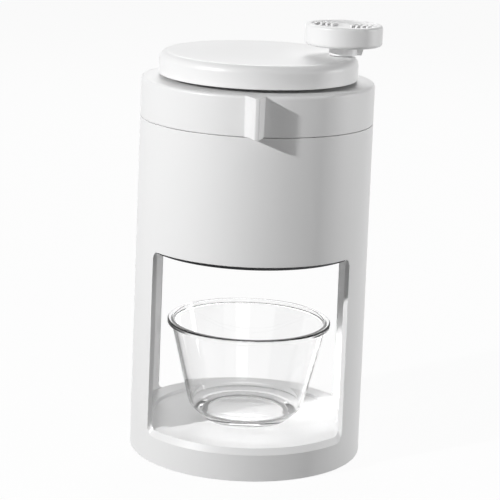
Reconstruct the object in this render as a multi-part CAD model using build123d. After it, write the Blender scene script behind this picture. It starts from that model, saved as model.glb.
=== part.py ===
from build123d import *
import math
import os

# Hand-cranked ice shaver: a round stand with a serving bay, an ice hopper that lifts out of
# it, a bayonet cover, a crank disc with a turning knob, and a sprung presser inside.
# Millimetres. +Z is up, -Y is the front, and the origin is the middle of the anti-slip pad.

# ---- body ------------------------------------------------------------------------------
BODY_R_BOTTOM = 66.36     # outside radius where the base meets the table
BODY_R_TOP = 65.0         # outside radius at the top of the cover ring
WALL = 2.2                # moulded wall of stand, cover and crank disc
FOOT_PROUD = 0.6          # pad stands this much below the base's edge
SILL_H = 15.1             # heights over the base's lower edge
DECK_H = 18.5
WINDOW_TOP_H = 120.9
DRUM_H = 191.2
WINDOW_HALF_ANGLE = 55.1
WINDOW_TOP_ROUND = 3.5
WINDOW_SILL_ROUND = 4.5
DECK_THICKNESS = 2.4
DECK_BAND = 10.0          # deck left between the recess and the wall
RECESS_DEPTH = 1.6
RECESS_SLOPE = 1.8        # the recess wall leans in by this much
BASE_RIBS = 8
BASE_RIB_THICKNESS = 1.6
BASE_RIB_DROP = 7.0
DECK_EDGE_ROUND = 0.8

# ---- base cover, screws and pad --------------------------------------------------------
BASE_COVER_THICKNESS = 3.6
BASE_COVER_GAP = 0.4
PAD_INSET = 8.2           # from the base cover's edge to the pad's
PAD_THICKNESS = 1.5
PAD_GAP = 0.2
BASE_SCREW_INSET = 10.0   # screws stand this far inside the pad's edge
BASE_SCREWS = 4
BASE_BOSS_R = 4.2
PAD_EDGE_ROUND = 0.5

# ---- hopper ----------------------------------------------------------------------------
HOPPER_GAP = 0.4          # air between the hopper and the stand's ledge
HOPPER_DRAFT = 0.5        # radius lost down to the lower rim
HOPPER_WALL = 2.2
HOPPER_RIM_DROP = 2.9     # lower rim shows this much below the window's top edge
FLOOR_RAISE = 5.6         # floor's underside over the lower rim
FLOOR_THICKNESS = 2.4
LEDGE_BELOW_DRUM_TOP = 5.6
LEDGE_HEIGHT = 2.0
LEDGE_REACH = 1.6
FLANGE_THICKNESS = 2.2
FLANGE_GAP = 0.5
HOPPER_FLOOR_ROUND = 2.0
HOPPER_RIM_ROUND = 0.6
KEY_WIDTH = 5.0
KEY_GAP = 0.3
HOPPER_ABOVE_DRUM = 13.6  # the hopper's top edge stands up inside the cover

# ---- blade -----------------------------------------------------------------------------
BLADE_END_GAP = 7.0       # from the blade's outer end to the hopper's wall
BLADE_WIDTH = 18.0
BLADE_THICKNESS = 0.8
BLADE_PITCH = 18.0        # degrees between blade and floor
BLADE_PROUD = 0.5         # cutting edge over the floor
BLADE_START_X = 9.0
BLADE_EDGE_Y = 0.6
THROAT_WIDTH = 3.8        # opening in front of the cutting edge
FLOOR_SETBACK = 3.0       # the floor starts again this far behind the edge
HOLDER_PAD_WIDTH = 7.0
HOLDER_CLEARANCE = 0.4    # holder's underside over the hopper's lower rim
BLADE_SCREW_INSET = 7.0
BLADE_SIDE_GAP = 0.5
BEVEL_ANGLE = 35.0        # ground face of the blade, against its upper face
HOLDER_NOSE = 4.0         # the holder starts this far behind the edge
HOLDER_NOSE_DEPTH = 1.2
HOLDER_RAMP = 5.0

# ---- cover ring ------------------------------------------------------------------------
SEAM_GAP = 0.3
RING_TOP_H = 213.4
RING_EDGE_ROUND = 1.6
PLATE_THICKNESS = 2.6
SKIRT_GAP = 2.0           # between the skirt and the hopper's wall, crossed by the lugs
SKIRT_WALL = 2.0
SKIRT_BELOW_HOPPER_TOP = 6.0
SHOULDER_INSET = 0.4      # the shoulder ends this far inside the hopper's edge
SHOULDER_THICKNESS = 1.8
SEAT_GAP = 0.3
TAB_REACH = 9.8
TAB_ROOT_LEFT = 4.6
TAB_ROOT_RIGHT = 4.2
TAB_TIP_WIDTH = 2.4
TAB_TIP_X = 0.2
TAB_ROUND = 0.9
TAB_FLARE = 2.4           # how far the left flank curves out where it meets the ring
TAB_ROOT_SINK = 0.6       # the flare starts this far inside the ring's face
PLATE_ROUND = 1.0         # inside corner between the ring's wall and its plate

# ---- bayonet ---------------------------------------------------------------------------
LUGS = 3
LUG_HEIGHT = 2.4
LUG_GAP = 0.4             # radial and axial air between the two sets of lugs
COVER_LUG_ANGLE = 20.0
HOPPER_LUG_ANGLE = 24.0
STOP_ANGLE = 2.5
STOP_GAP_ANGLE = 0.6
TWIST_ANGLE = 30.0
LUG_FIRST_AZIMUTH = 30.0

# ---- crank disc ------------------------------------------------------------------------
DISC_INSET = 9.67         # disc's edge inside the cover ring's edge
DISC_GAP = 1.9            # dark gap between disc and ring
DISC_HEIGHT = 12.7
DISC_ROUND = 4.8
SPIGOT_R = 14.95
BUSH_RUNNING_GAP = 0.05
BUSH_WALL = 2.2
BUSH_FLANGE_THICKNESS = 1.2
BUSH_FLANGE_REACH = 1.2
BEARING_LENGTH = 10.0
BOSS_WALL = 3.0
BUSH_SETBACK = 0.2        # bush ends this far inside the boss
SPIGOT_BORE_R = 7.0
DISC_RIBS = 8
DISC_RIB_THICKNESS = 1.6
DISC_RIB_DEPTH = 6.5
DISC_RIB_TOP = 1.5        # ribs meet the ceiling's corner round below this depth

# ---- drive shaft and its stop ----------------------------------------------------------
DRIVE_FLANGE_R = 18.5
DRIVE_FLANGE_THICKNESS = 2.8
HEX_FLATS = 11.0
HEX_ROUND = 0.6
SHAFT_SCREW_CIRCLE_R = 10.5
SHAFT_SCREWS = 3
STOP_WASHER_R = 7.7
STOP_WASHER_THICKNESS = 1.2

# ---- presser ---------------------------------------------------------------------------
PRESSER_TRAVEL = 25.0
PRESSER_GAP = 4.6         # air between the presser and the hopper's narrow end
PRESSER_THICKNESS = 3.0
PRESSER_RIM_HEIGHT = 3.4
PRESSER_RIM_WALL = 2.0
PRESSER_ROUND = 1.0
SPIKE_CLEARANCE = 3.0     # spike tips over the hopper floor with the spring relaxed
SPIKE_LENGTH = 6.5
SPIKE_R = 1.6
SPIKE_ROOT = 2.2
SPIKE_POINT_SHARE = 0.45  # share of a spike that is its cone
SPIKE_EDGE = 13.5         # outer ring of spikes inside the presser's edge
SPIKE_RING_STEP = 16.0
INNER_SPIKES = 6
OUTER_SPIKES = 12
SLEEVE_R = 10.4
SLEEVE_BORE_R = 8.0
SLEEVE_COLLAR = 1.2       # collar under the plate, round the sleeve's bore
GUIDE_LENGTH = 10.0
HEX_GAP = 0.15
CAP_THICKNESS = 2.6
PADDLES = 6
PADDLE_THICKNESS = 2.4
PADDLE_DEPTH = 4.6
PADDLE_INSET = 4.0        # paddles end this far inside the plate's edge
RIB_BELOW_RIM = 0.8

# ---- spring ----------------------------------------------------------------------------
SPRING_R = 14.6           # to the middle of the wire
SPRING_WIRE_R = 0.8
SPRING_TURNS = 7
SPRING_SEAT_GAP = 0.5     # between the coil and the seat's wall
SPRING_SEAT_WALL = 1.6
SPRING_SEAT_HEIGHT = 3.0

# ---- knob ------------------------------------------------------------------------------
KNOB_INSET = 8.93         # knob's axis inside the crank disc's edge
KNOB_R = 21.53
KNOB_LIFT = 5.9           # knob's underside over the disc's top
KNOB_HEIGHT = 11.6
KNOB_TOP_ROUND = 1.5
KNOB_BOTTOM_ROUND = 2.0
KNOB_WALL = 2.3
KNOB_HUB_R = 7.8
KNOB_HUB_GAP = 0.3
HUB_NECK_R = 6.2
HUB_NECK_HEIGHT = 5.0
LUG_TOP_R = 11.9
LUG_BOTTOM_R = 10.4
HUB_ROUND = 0.5
HUB_LUG_START = 2.0
HUB_LUG_SPAN = 116.0
AXLE_R = 3.0
AXLE_RUNNING_GAP = 0.05
AXLE_HEAD_R = 5.2
AXLE_HEAD_HEIGHT = 1.8
AXLE_WASHER_THICKNESS = 0.8
AXLE_THREAD_R = 2.4
AXLE_THREAD_LENGTH = 9.0
AXLE_BOSS_WALL = 2.4
AXLE_HEAD_ROUND = 0.6
AXLE_WASHER_GAP = 0.2
AXLE_WASHER_REACH = 0.4    # washer's edge outside the axle's head
CAP_R = 18.0
CAP_HEIGHT = 2.7
CAP_BELOW_RIM = 0.4
DISH_DEPTH = 1.3
DISH_RIM = 1.0            # flat edge round the dish
DISH_WALL_RUN = 1.2       # the dish's wall leans in by this much
DISH_SAG = 0.2            # the dish sinks by this much to its middle, and rises so at its edge
CAP_SEAT_WIDTH = 1.2      # step inside the knob that carries the cap
KNOB_FLOOR_ROUND = 1.0
GRIP_BARS = 4             # in each of the two groups
GRIP_BAR_PITCH = 3.0
GRIP_BAR_FIRST = 7.2
GRIP_BAR_LENGTH = 7.0
GRIP_BAR_WIDTH = 1.3
GRIP_BAR_LEAN = 62.0
GRIP_LINE_SLOPE = -0.45

# ---- bowl ------------------------------------------------------------------------------
BOWL_H = 57.6
BOWL_RIM_R = 46.7
BOWL_RIM_HEIGHT = 2.8
BOWL_RIM_REACH = 2.4
BOWL_WALL = 2.3
BOWL_SLOPE = 0.234        # radius gained for each millimetre of height
BOWL_FOOT_R = 25.0
BOWL_FLOOR = 5.2
BOWL_SHOULDER_H = 7.6     # where the straight wall starts
BOWL_SHOULDER_ROUND = 9.0
BOWL_FOOT_RING = 3.0
BOWL_FOOT_HOLLOW = 0.5    # middle of the foot over the deck
BOWL_RIM_LOW_ROUND = 1.3
BOWL_RIM_TOP_ROUND = 1.4
BOWL_LIP_ROUND = 1.2
BOWL_LIP_STEP = 0.6        # the lip is this much thinner than the wall
BOWL_FLOOR_ROUND = 5.0

# ---- fasteners and fits ----------------------------------------------------------------
SCREW_R = 1.5
SCREW_HEAD_R = 2.8
SCREW_HEAD_HEIGHT = 1.5
SCREW_GAP = 0.05
SHAFT_SCREW_GRIP = 8.5    # length of screw inside the spigot
STOP_SCREW_GRIP = 10.0    # length of screw inside the shaft
BLIND_END = 0.5           # a pilot hole is this much deeper than its screw
TIP_GAP = 0.6             # a blade screw ends this far under the hopper's floor
BASE_SCREW_TIP_GAP = 2.0  # a base screw ends this far under the deck's recess
HEAD_GAP = 0.3            # round a screw's head and shank in loose holes
PRESS_GAP = 0.02          # between pieces that are pushed or glued together
SINK = 1.0                # joined shapes and cutters reach this far into or past each other

# ---- levels worked out from the sizes above --------------------------------------------
z_base = FOOT_PROUD
z_sill = z_base + SILL_H
z_deck = z_base + DECK_H
z_window_top = z_base + WINDOW_TOP_H
z_drum_top = z_base + DRUM_H
z_ring_bottom = z_drum_top + SEAM_GAP
z_ring_top = z_base + RING_TOP_H
z_recess = z_deck - RECESS_DEPTH
z_base_cover_top = z_base + BASE_COVER_THICKNESS
z_hopper_bottom = z_window_top - HOPPER_RIM_DROP
z_floor_under = z_hopper_bottom + FLOOR_RAISE
z_floor = z_floor_under + FLOOR_THICKNESS
z_ledge = z_drum_top - LEDGE_BELOW_DRUM_TOP
z_hopper_top = z_drum_top + HOPPER_ABOVE_DRUM
z_hopper_lug = z_hopper_top - LUG_HEIGHT
z_cover_lug = z_hopper_lug - LUG_GAP - LUG_HEIGHT
z_plate = z_ring_top - PLATE_THICKNESS
z_disc = z_ring_top + DISC_GAP
z_disc_top = z_disc + DISC_HEIGHT
z_disc_ceiling = z_disc_top - WALL
z_thrust = z_ring_top + BUSH_FLANGE_THICKNESS
z_boss_bottom = z_ring_top - BEARING_LENGTH
z_spigot_bottom = z_boss_bottom - SEAT_GAP
z_flange_bottom = z_spigot_bottom - DRIVE_FLANGE_THICKNESS
z_spike_tip = z_floor + SPIKE_CLEARANCE
z_presser = z_spike_tip + SPIKE_LENGTH
z_presser_top = z_presser + PRESSER_THICKNESS
z_bore_cap = z_spike_tip + SPIKE_ROOT
z_bore_floor = z_bore_cap + CAP_THICKNESS
z_shaft_end = (z_bore_floor + PRESSER_TRAVEL + STOP_WASHER_THICKNESS + SCREW_HEAD_HEIGHT
               + SEAT_GAP)
z_guide = z_shaft_end + SEAT_GAP
z_sleeve_top = z_guide + GUIDE_LENGTH
z_hub = z_disc_top + KNOB_HUB_GAP
z_knob = z_disc_top + KNOB_LIFT
z_knob_top = z_knob + KNOB_HEIGHT
z_hub_top = z_knob + HUB_NECK_HEIGHT
z_cap_top = z_knob_top - CAP_BELOW_RIM
z_cap = z_cap_top - CAP_HEIGHT

# ---- radii worked out from the sizes above ---------------------------------------------
ledge_r = BODY_R_TOP - WALL - LEDGE_REACH
hopper_r = ledge_r - HOPPER_GAP
hopper_bore_r = hopper_r - HOPPER_WALL
hopper_low_r = hopper_r - HOPPER_DRAFT
skirt_r = hopper_bore_r - SKIRT_GAP
shoulder_r = hopper_r - SHOULDER_INSET
presser_r = hopper_low_r - HOPPER_WALL - PRESSER_GAP
bush_r = SPIGOT_R + BUSH_RUNNING_GAP + BUSH_WALL
disc_r = BODY_R_TOP - DISC_INSET
knob_x = disc_r - KNOB_INSET
base_cover_r = BODY_R_BOTTOM - WALL - BASE_COVER_GAP
pad_r = base_cover_r - PAD_INSET
recess_r = BODY_R_BOTTOM - WALL - DECK_BAND


def body_r(height):
    """Outside radius of the tapered body at a height over the table."""
    share = (height - z_base) / (z_ring_top - z_base)
    return BODY_R_BOTTOM + (BODY_R_TOP - BODY_R_BOTTOM) * share


def outline(points, rounds=()):
    """Closed flat outline with some of its corners rounded: rounds holds (corner, radius)."""
    face = make_face(Polyline(*points, close=True))
    for corner, radius in rounds:
        nearest = face.vertices().sort_by_distance((corner[0], corner[1], 0))[0]
        face = fillet(nearest, radius)
    return face


def turned(points, rounds=(), start=0.0, angle=360.0):
    """Solid made by turning an outline of (radius, height) points about the Z axis."""
    solid = revolve(Plane.XZ * outline(points, rounds), Axis.Z, revolution_arc=angle)
    return Rot(0, 0, start) * solid


def ring(inner, outer, low, high, start=0.0, angle=360.0):
    """Plain ring, or a sector of one, between two radii and two heights."""
    return turned([(inner, low), (outer, low), (outer, high), (inner, high)],
                  start=start, angle=angle)


def post(radius, low, high, x=0.0, y=0.0):
    """Upright cylinder between two heights."""
    bottom = (Align.CENTER, Align.CENTER, Align.MIN)
    return Pos(x, y, low) * Cylinder(radius, high - low, align=bottom)


def block(x0, x1, y0, y1, low, high):
    """Box between six planes."""
    corner = (Align.MIN, Align.MIN, Align.MIN)
    return Pos(x0, y0, low) * Box(x1 - x0, y1 - y0, high - low, align=corner)


def around(count, radius, first=0.0):
    """Places of a round pattern: (x, y) for each of count points on a circle."""
    angles = [math.radians(first + 360.0 * i / count) for i in range(count)]
    return [(radius * math.cos(a), radius * math.sin(a)) for a in angles]


def radial_ribs(count, inner, outer, thickness, low, high, first=0.0):
    """Upright ribs that run outwards from the middle."""
    one = block(inner, outer, -thickness / 2, thickness / 2, low, high)
    return [Rot(0, 0, first + 360.0 * i / count) * one for i in range(count)]


def screw(x, y, head_low, shank_top, head_r=SCREW_HEAD_R, shank_r=SCREW_R):
    """Pan-head screw that points upwards, its head below."""
    head = turned([(0, 0), (head_r, 0), (head_r, SCREW_HEAD_HEIGHT), (0, SCREW_HEAD_HEIGHT)],
                  rounds=[((head_r, 0), SCREW_HEAD_HEIGHT * 0.4)])
    shank = post(shank_r, SCREW_HEAD_HEIGHT, shank_top - head_low)
    return Pos(x, y, head_low) * (head + shank)


# ---- stand -----------------------------------------------------------------------------
base_screw_places = around(BASE_SCREWS, pad_r - BASE_SCREW_INSET, first=45.0)


def window_cutter(azimuth):
    """Window through the wall: a sector whose sill slopes down towards the outside."""
    inner = min(BODY_R_BOTTOM, BODY_R_TOP) - 2 * WALL
    outer = max(BODY_R_BOTTOM, BODY_R_TOP) + WALL
    slope = (z_deck - z_sill) / WALL
    sill_in = z_sill + (body_r(z_sill) - inner) * slope
    sill_out = z_sill + (body_r(z_sill) - outer) * slope
    sector = turned([(inner, sill_in), (outer, sill_out),
                     (outer, z_window_top), (inner, z_window_top)],
                    start=-WINDOW_HALF_ANGLE, angle=2 * WINDOW_HALF_ANGLE)
    steep = 0.95
    same_place = 0.01
    corners = sector.edges().filter_by(GeomType.LINE).filter_by(
        lambda edge: abs((edge @ 1 - edge @ 0).normalized().Z) < steep)
    upper = corners.filter_by(lambda edge: edge.center().Z > z_window_top - SINK)
    lower = corners.filter_by(lambda edge: edge.center().Z < z_window_top - SINK)
    sector = fillet(upper, WINDOW_TOP_ROUND)
    lower = [near for low in lower for near in sector.edges()
             if (near.center() - low.center()).length < same_place]
    return Rot(0, 0, azimuth) * fillet(lower, WINDOW_SILL_ROUND)


def stand_frame():
    """Drum, two pillars and base in one moulding, with a recessed deck for the bowl."""
    wall = turned([(body_r(z_base), z_base), (body_r(z_drum_top), z_drum_top),
                   (body_r(z_drum_top) - WALL, z_drum_top), (body_r(z_base) - WALL, z_base)])
    into_wall = body_r(z_deck) - WALL / 2
    under = z_deck - DECK_THICKNESS
    lip = recess_r - RECESS_SLOPE
    deck = turned([(0, z_recess), (lip, z_recess), (recess_r, z_deck), (into_wall, z_deck),
                   (into_wall, under), (recess_r, under),
                   (lip - DECK_THICKNESS / 2, z_recess - DECK_THICKNESS),
                   (0, z_recess - DECK_THICKNESS)],
                  rounds=[((lip, z_recess), DECK_EDGE_ROUND), ((recess_r, z_deck), DECK_EDGE_ROUND)])
    ledge = turned([(ledge_r, z_ledge), (ledge_r, z_ledge - LEDGE_HEIGHT / 2),
                    (body_r(z_ledge) - WALL / 2, z_ledge - LEDGE_HEIGHT - LEDGE_REACH),
                    (body_r(z_ledge) - WALL / 2, z_ledge)])
    rib_top = z_recess - DECK_THICKNESS / 2
    ribs = radial_ribs(BASE_RIBS, 0, body_r(z_base) - WALL / 2, BASE_RIB_THICKNESS,
                       rib_top - BASE_RIB_DROP, rib_top)
    bosses = [post(BASE_BOSS_R, z_base_cover_top, rib_top, x, y) for x, y in base_screw_places]
    frame = wall - window_cutter(-90) - window_cutter(90) + deck + ledge
    frame = frame + ribs + bosses
    pilots = [post(SCREW_R + SCREW_GAP, z_base_cover_top - SINK, z_recess - DECK_THICKNESS, x, y)
              for x, y in base_screw_places]
    key_in = hopper_r + 2 * KEY_GAP
    key_out = body_r(z_ledge) - WALL / 2
    keys = [block(key_in, key_out, -KEY_WIDTH / 2, KEY_WIDTH / 2, z_ledge - SINK / 2,
                  z_ledge + FLANGE_THICKNESS - KEY_GAP)]
    keys.append(Rot(0, 0, 180) * keys[0])
    return frame - pilots + keys


def base_cover():
    """Plate that closes the base from below, with a shallow pocket for the pad."""
    pad_top = PAD_THICKNESS
    plate = turned([(0, pad_top), (pad_r + PAD_GAP, pad_top), (pad_r + PAD_GAP, z_base),
                    (base_cover_r, z_base), (base_cover_r, z_base_cover_top),
                    (0, z_base_cover_top)])
    holes = [post(SCREW_R + SCREW_GAP, z_base, z_base_cover_top + SINK, x, y)
             for x, y in base_screw_places]
    heads = [post(SCREW_HEAD_R + HEAD_GAP, z_base, pad_top + SCREW_HEAD_HEIGHT, x, y)
             for x, y in base_screw_places]
    return plate - holes - heads


def base_screws():
    """Four screws that hold the base cover to the bosses under the deck."""
    tip = z_recess - DECK_THICKNESS - BASE_SCREW_TIP_GAP
    return [screw(x, y, PAD_THICKNESS, tip) for x, y in base_screw_places]


def foot_pad():
    """Round anti-slip pad that the stand rests on."""
    return turned([(0, 0), (pad_r, 0), (pad_r, PAD_THICKNESS), (0, PAD_THICKNESS)],
                  rounds=[((pad_r, 0), PAD_EDGE_ROUND)])


# ---- hopper ----------------------------------------------------------------------------
pitch = math.radians(BLADE_PITCH)
z_edge = z_floor + BLADE_PROUD
blade_end_x = hopper_low_r - HOPPER_WALL - BLADE_END_GAP
holder_y = BLADE_EDGE_Y + BLADE_WIDTH * math.cos(pitch) + 0.5
holder_far_y = holder_y + HOLDER_PAD_WIDTH
z_holder = z_hopper_bottom + HOLDER_CLEARANCE
blade_screw_xs = (BLADE_START_X + BLADE_SCREW_INSET, blade_end_x - BLADE_SCREW_INSET)
blade_screw_y = holder_y + HOLDER_PAD_WIDTH / 2


def blade_top(y):
    """Height of the blade's upper face at a distance y behind the middle."""
    return z_edge - (y - BLADE_EDGE_Y) * math.tan(pitch)


def bayonet_sectors(inner, outer, low, angle, centre, height=LUG_HEIGHT):
    """One lug, or stop, for each bayonet position."""
    return [ring(inner, outer, low, low + height, start=LUG_FIRST_AZIMUTH + centre - angle / 2
                 + 360.0 * i / LUGS, angle=angle) for i in range(LUGS)]


def ice_hopper():
    """Cup for the ice: slotted floor, hanging flange and inward bayonet lugs."""
    flange_r = body_r(z_ledge) - WALL - FLANGE_GAP
    cup = turned([(0, z_floor_under), (hopper_low_r - HOPPER_WALL, z_floor_under),
                  (hopper_low_r - HOPPER_WALL, z_hopper_bottom), (hopper_low_r, z_hopper_bottom),
                  (hopper_r, z_ledge), (flange_r, z_ledge),
                  (flange_r, z_ledge + FLANGE_THICKNESS), (hopper_r, z_ledge + FLANGE_THICKNESS),
                  (hopper_r, z_hopper_top), (hopper_bore_r, z_hopper_top),
                  (hopper_bore_r, z_ledge), (hopper_low_r - HOPPER_WALL, z_floor), (0, z_floor)],
                 rounds=[((hopper_low_r - HOPPER_WALL, z_floor), HOPPER_FLOOR_ROUND),
                         ((hopper_low_r, z_hopper_bottom), HOPPER_RIM_ROUND)])
    lug_r = skirt_r + LUG_GAP
    into_wall = hopper_bore_r + HOPPER_WALL / 2
    lugs = bayonet_sectors(lug_r, into_wall, z_hopper_lug, HOPPER_LUG_ANGLE, 0)
    shut = -(COVER_LUG_ANGLE + STOP_ANGLE) / 2 - STOP_GAP_ANGLE
    opened = TWIST_ANGLE - shut
    stops = (bayonet_sectors(lug_r, into_wall, z_cover_lug, STOP_ANGLE, shut,
                             LUG_HEIGHT + LUG_GAP + SINK / 2)
             + bayonet_sectors(lug_r, into_wall, z_cover_lug, STOP_ANGLE, opened))
    notch = block(hopper_r + KEY_GAP, flange_r + SINK, -KEY_WIDTH / 2 - KEY_GAP,
                  KEY_WIDTH / 2 + KEY_GAP, z_ledge - SINK, z_ledge + FLANGE_THICKNESS + SINK)
    throat = block(BLADE_START_X - BLADE_SIDE_GAP, blade_end_x + BLADE_SIDE_GAP,
                   BLADE_EDGE_Y - THROAT_WIDTH, BLADE_EDGE_Y + FLOOR_SETBACK,
                   z_floor_under - SINK, z_floor + SINK)
    return (cup + lugs + stops - notch - Rot(0, 0, 180) * notch - throat - blade_slot()
            - blade_screw_holes())


def blade_slab(side_gap, thickness):
    """Tilted slab with its upper face in the blade's upper face, and air at its sides."""
    slab = block(BLADE_START_X - side_gap, blade_end_x + side_gap, 0, BLADE_WIDTH,
                 -thickness, 0)
    return Pos(0, BLADE_EDGE_Y, z_edge) * Rot(-BLADE_PITCH, 0, 0) * slab


def blade_slot():
    """Sloping slot that lets the blade and its holder rise through the hopper's floor."""
    return blade_slab(BLADE_SIDE_GAP, BLADE_THICKNESS + FLOOR_THICKNESS)


def blade_screw_holes():
    """Pilot holes for the two screws of the blade holder."""
    return [post(SCREW_R + SCREW_GAP, z_floor_under - SINK, z_floor - TIP_GAP + 0.2, x, blade_screw_y)
            for x in blade_screw_xs]


def shaving_blade():
    """Steel blade with a bevelled cutting edge."""
    blade = blade_slab(0.0, BLADE_THICKNESS)
    bevel = block(BLADE_START_X - SINK, blade_end_x + SINK, -2 * SINK, 0.0, -3 * SINK, SINK)
    bevel = Pos(0, BLADE_EDGE_Y, z_edge) * Rot(-BLADE_PITCH - BEVEL_ANGLE, 0, 0) * bevel
    return blade - bevel


def blade_holder():
    """Wedge that carries the blade from below and is screwed to the hopper's floor."""
    under = BLADE_THICKNESS / math.cos(pitch)
    near_y = BLADE_EDGE_Y + HOLDER_NOSE
    low_y = near_y + HOLDER_RAMP
    section = [(near_y, blade_top(near_y) - under), (near_y, blade_top(near_y) - under - HOLDER_NOSE_DEPTH),
               (low_y, z_holder), (holder_far_y, z_holder), (holder_far_y, z_floor_under),
               (holder_y, z_floor_under), (holder_y, blade_top(holder_y) - under)]
    profile = Pos(BLADE_START_X, 0, 0) * (Plane.YZ * outline(section))
    wedge = extrude(profile, blade_end_x - BLADE_START_X, dir=(1, 0, 0))
    holes = [post(SCREW_R + SCREW_GAP, z_holder - SINK, z_floor_under + SINK, x, blade_screw_y)
             for x in blade_screw_xs]
    heads = [post(SCREW_HEAD_R + HEAD_GAP, z_holder - SINK, z_holder + SCREW_HEAD_HEIGHT, x,
                  blade_screw_y) for x in blade_screw_xs]
    return wedge - holes - heads


def blade_screws():
    """Two screws that clamp the holder, and with it the blade."""
    return [screw(x, blade_screw_y, z_holder, z_floor - TIP_GAP) for x in blade_screw_xs]


# ---- cover -----------------------------------------------------------------------------
def tab():
    """Thumb tab on the ring: a fin with a steep right flank and a hollow left one."""
    root_y = -(BODY_R_TOP - WALL / 2)
    face_y = -BODY_R_TOP
    tip_y = face_y - TAB_REACH
    left_tip = TAB_TIP_X - TAB_TIP_WIDTH / 2
    right_tip = TAB_TIP_X + TAB_TIP_WIDTH / 2
    mid = ((left_tip - TAB_ROOT_LEFT) / 2 + TAB_FLARE / 3, (tip_y + face_y) / 2 + TAB_FLARE / 3)
    left = ThreePointArc((-TAB_ROOT_LEFT - TAB_FLARE, face_y + TAB_ROOT_SINK), mid, (left_tip, tip_y))
    closing = Polyline((left_tip, tip_y), (right_tip, tip_y), (TAB_ROOT_RIGHT, face_y),
                       (TAB_ROOT_RIGHT, root_y), (-TAB_ROOT_LEFT - TAB_FLARE, root_y),
                       (-TAB_ROOT_LEFT - TAB_FLARE, face_y + TAB_ROOT_SINK))
    plan = make_face(left + closing)
    for x in (left_tip, right_tip):
        plan = fillet(plan.vertices().sort_by_distance((x, tip_y, 0))[0], TAB_ROUND)
    fin = extrude(Pos(0, 0, z_ring_bottom) * plan, z_ring_top - z_ring_bottom, dir=(0, 0, 1))
    rim = fin.faces().sort_by(Axis.Z)[-1].edges().filter_by(
        lambda edge: edge.center().Y < face_y - SEAM_GAP)
    return fillet(rim, TAB_ROUND / 2)


def cover_ring():
    """Ring that closes the hopper: outer wall, bearing plate, skirt with lugs and a tab."""
    skirt_low = z_hopper_top - SKIRT_BELOW_HOPPER_TOP
    skirt_in = skirt_r - SKIRT_WALL
    shoulder = z_hopper_top + SEAT_GAP
    wall_in = body_r(z_plate) - WALL
    profile = [(bush_r, z_boss_bottom), (bush_r + BOSS_WALL, z_boss_bottom),
               (bush_r + BOSS_WALL, z_plate), (skirt_in, z_plate), (skirt_in, skirt_low),
               (skirt_r, skirt_low), (skirt_r, shoulder), (shoulder_r, shoulder),
               (shoulder_r, shoulder + SHOULDER_THICKNESS),
               (skirt_r, shoulder + SHOULDER_THICKNESS), (skirt_r, z_plate),
               (wall_in, z_plate), (body_r(z_ring_bottom) - WALL, z_ring_bottom),
               (body_r(z_ring_bottom), z_ring_bottom), (BODY_R_TOP, z_ring_top),
               (bush_r, z_ring_top)]
    shell = turned(profile, rounds=[((BODY_R_TOP, z_ring_top), RING_EDGE_ROUND),
                                    ((wall_in, z_plate), PLATE_ROUND)])
    lugs = bayonet_sectors(skirt_r - SKIRT_WALL / 2, hopper_bore_r - LUG_GAP, z_cover_lug,
                           COVER_LUG_ANGLE, 0)
    inside = post(BODY_R_TOP - WALL, z_ring_bottom - SINK, z_plate)
    return shell + lugs + (tab() - inside)


def bearing_bush():
    """Flanged sleeve that the crank disc turns in."""
    bore = SPIGOT_R + BUSH_RUNNING_GAP
    outer = bush_r - PRESS_GAP
    low = z_boss_bottom + BUSH_SETBACK
    return turned([(bore, low), (outer, low),
                   (outer, z_ring_top), (bush_r + BUSH_FLANGE_REACH, z_ring_top),
                   (bush_r + BUSH_FLANGE_REACH, z_thrust), (bore, z_thrust)])


# ---- crank -----------------------------------------------------------------------------
shaft_screw_places = around(SHAFT_SCREWS, SHAFT_SCREW_CIRCLE_R, first=90.0)


def crank_disc():
    """Round crank: a ribbed disc with a spigot below and a seat for the knob's axle."""
    thrust_r = bush_r + BUSH_FLANGE_REACH
    z_land = z_thrust + BUSH_RUNNING_GAP
    wall_in = disc_r - WALL
    shell = turned([(SPIGOT_BORE_R, z_spigot_bottom), (SPIGOT_R, z_spigot_bottom),
                    (SPIGOT_R, z_land), (thrust_r, z_land), (thrust_r, z_disc_ceiling),
                    (wall_in, z_disc_ceiling), (wall_in, z_disc), (disc_r, z_disc),
                    (disc_r, z_disc_top), (0, z_disc_top), (0, z_disc),
                    (SPIGOT_BORE_R, z_disc)],
                   rounds=[((disc_r, z_disc_top), DISC_ROUND),
                           ((wall_in, z_disc_ceiling), DISC_ROUND - WALL)])
    rib_top = z_disc_ceiling + WALL / 2
    ribs = radial_ribs(DISC_RIBS, thrust_r - SINK, wall_in + WALL / 2, DISC_RIB_THICKNESS,
                       z_disc_ceiling - DISC_RIB_DEPTH, z_disc_ceiling - DISC_RIB_TOP,
                       first=180.0 / DISC_RIBS)
    webs = radial_ribs(DISC_RIBS, thrust_r - SINK, wall_in - DISC_ROUND, DISC_RIB_THICKNESS,
                       z_disc_ceiling - 2 * SINK, rib_top, first=180.0 / DISC_RIBS)
    hole_end = z_disc_top - AXLE_THREAD_LENGTH - BLIND_END
    axle_boss = post(AXLE_THREAD_R + AXLE_BOSS_WALL, hole_end - WALL / 2, rib_top, knob_x)
    axle_hole = post(AXLE_THREAD_R + SCREW_GAP, hole_end, z_disc_top + SINK, knob_x)
    pilot_top = z_spigot_bottom + SHAFT_SCREW_GRIP + BLIND_END
    pilots = [post(SCREW_R + SCREW_GAP, z_spigot_bottom - SINK, pilot_top, x, y)
              for x, y in shaft_screw_places]
    return shell + ribs + webs + axle_boss - axle_hole - pilots


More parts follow.
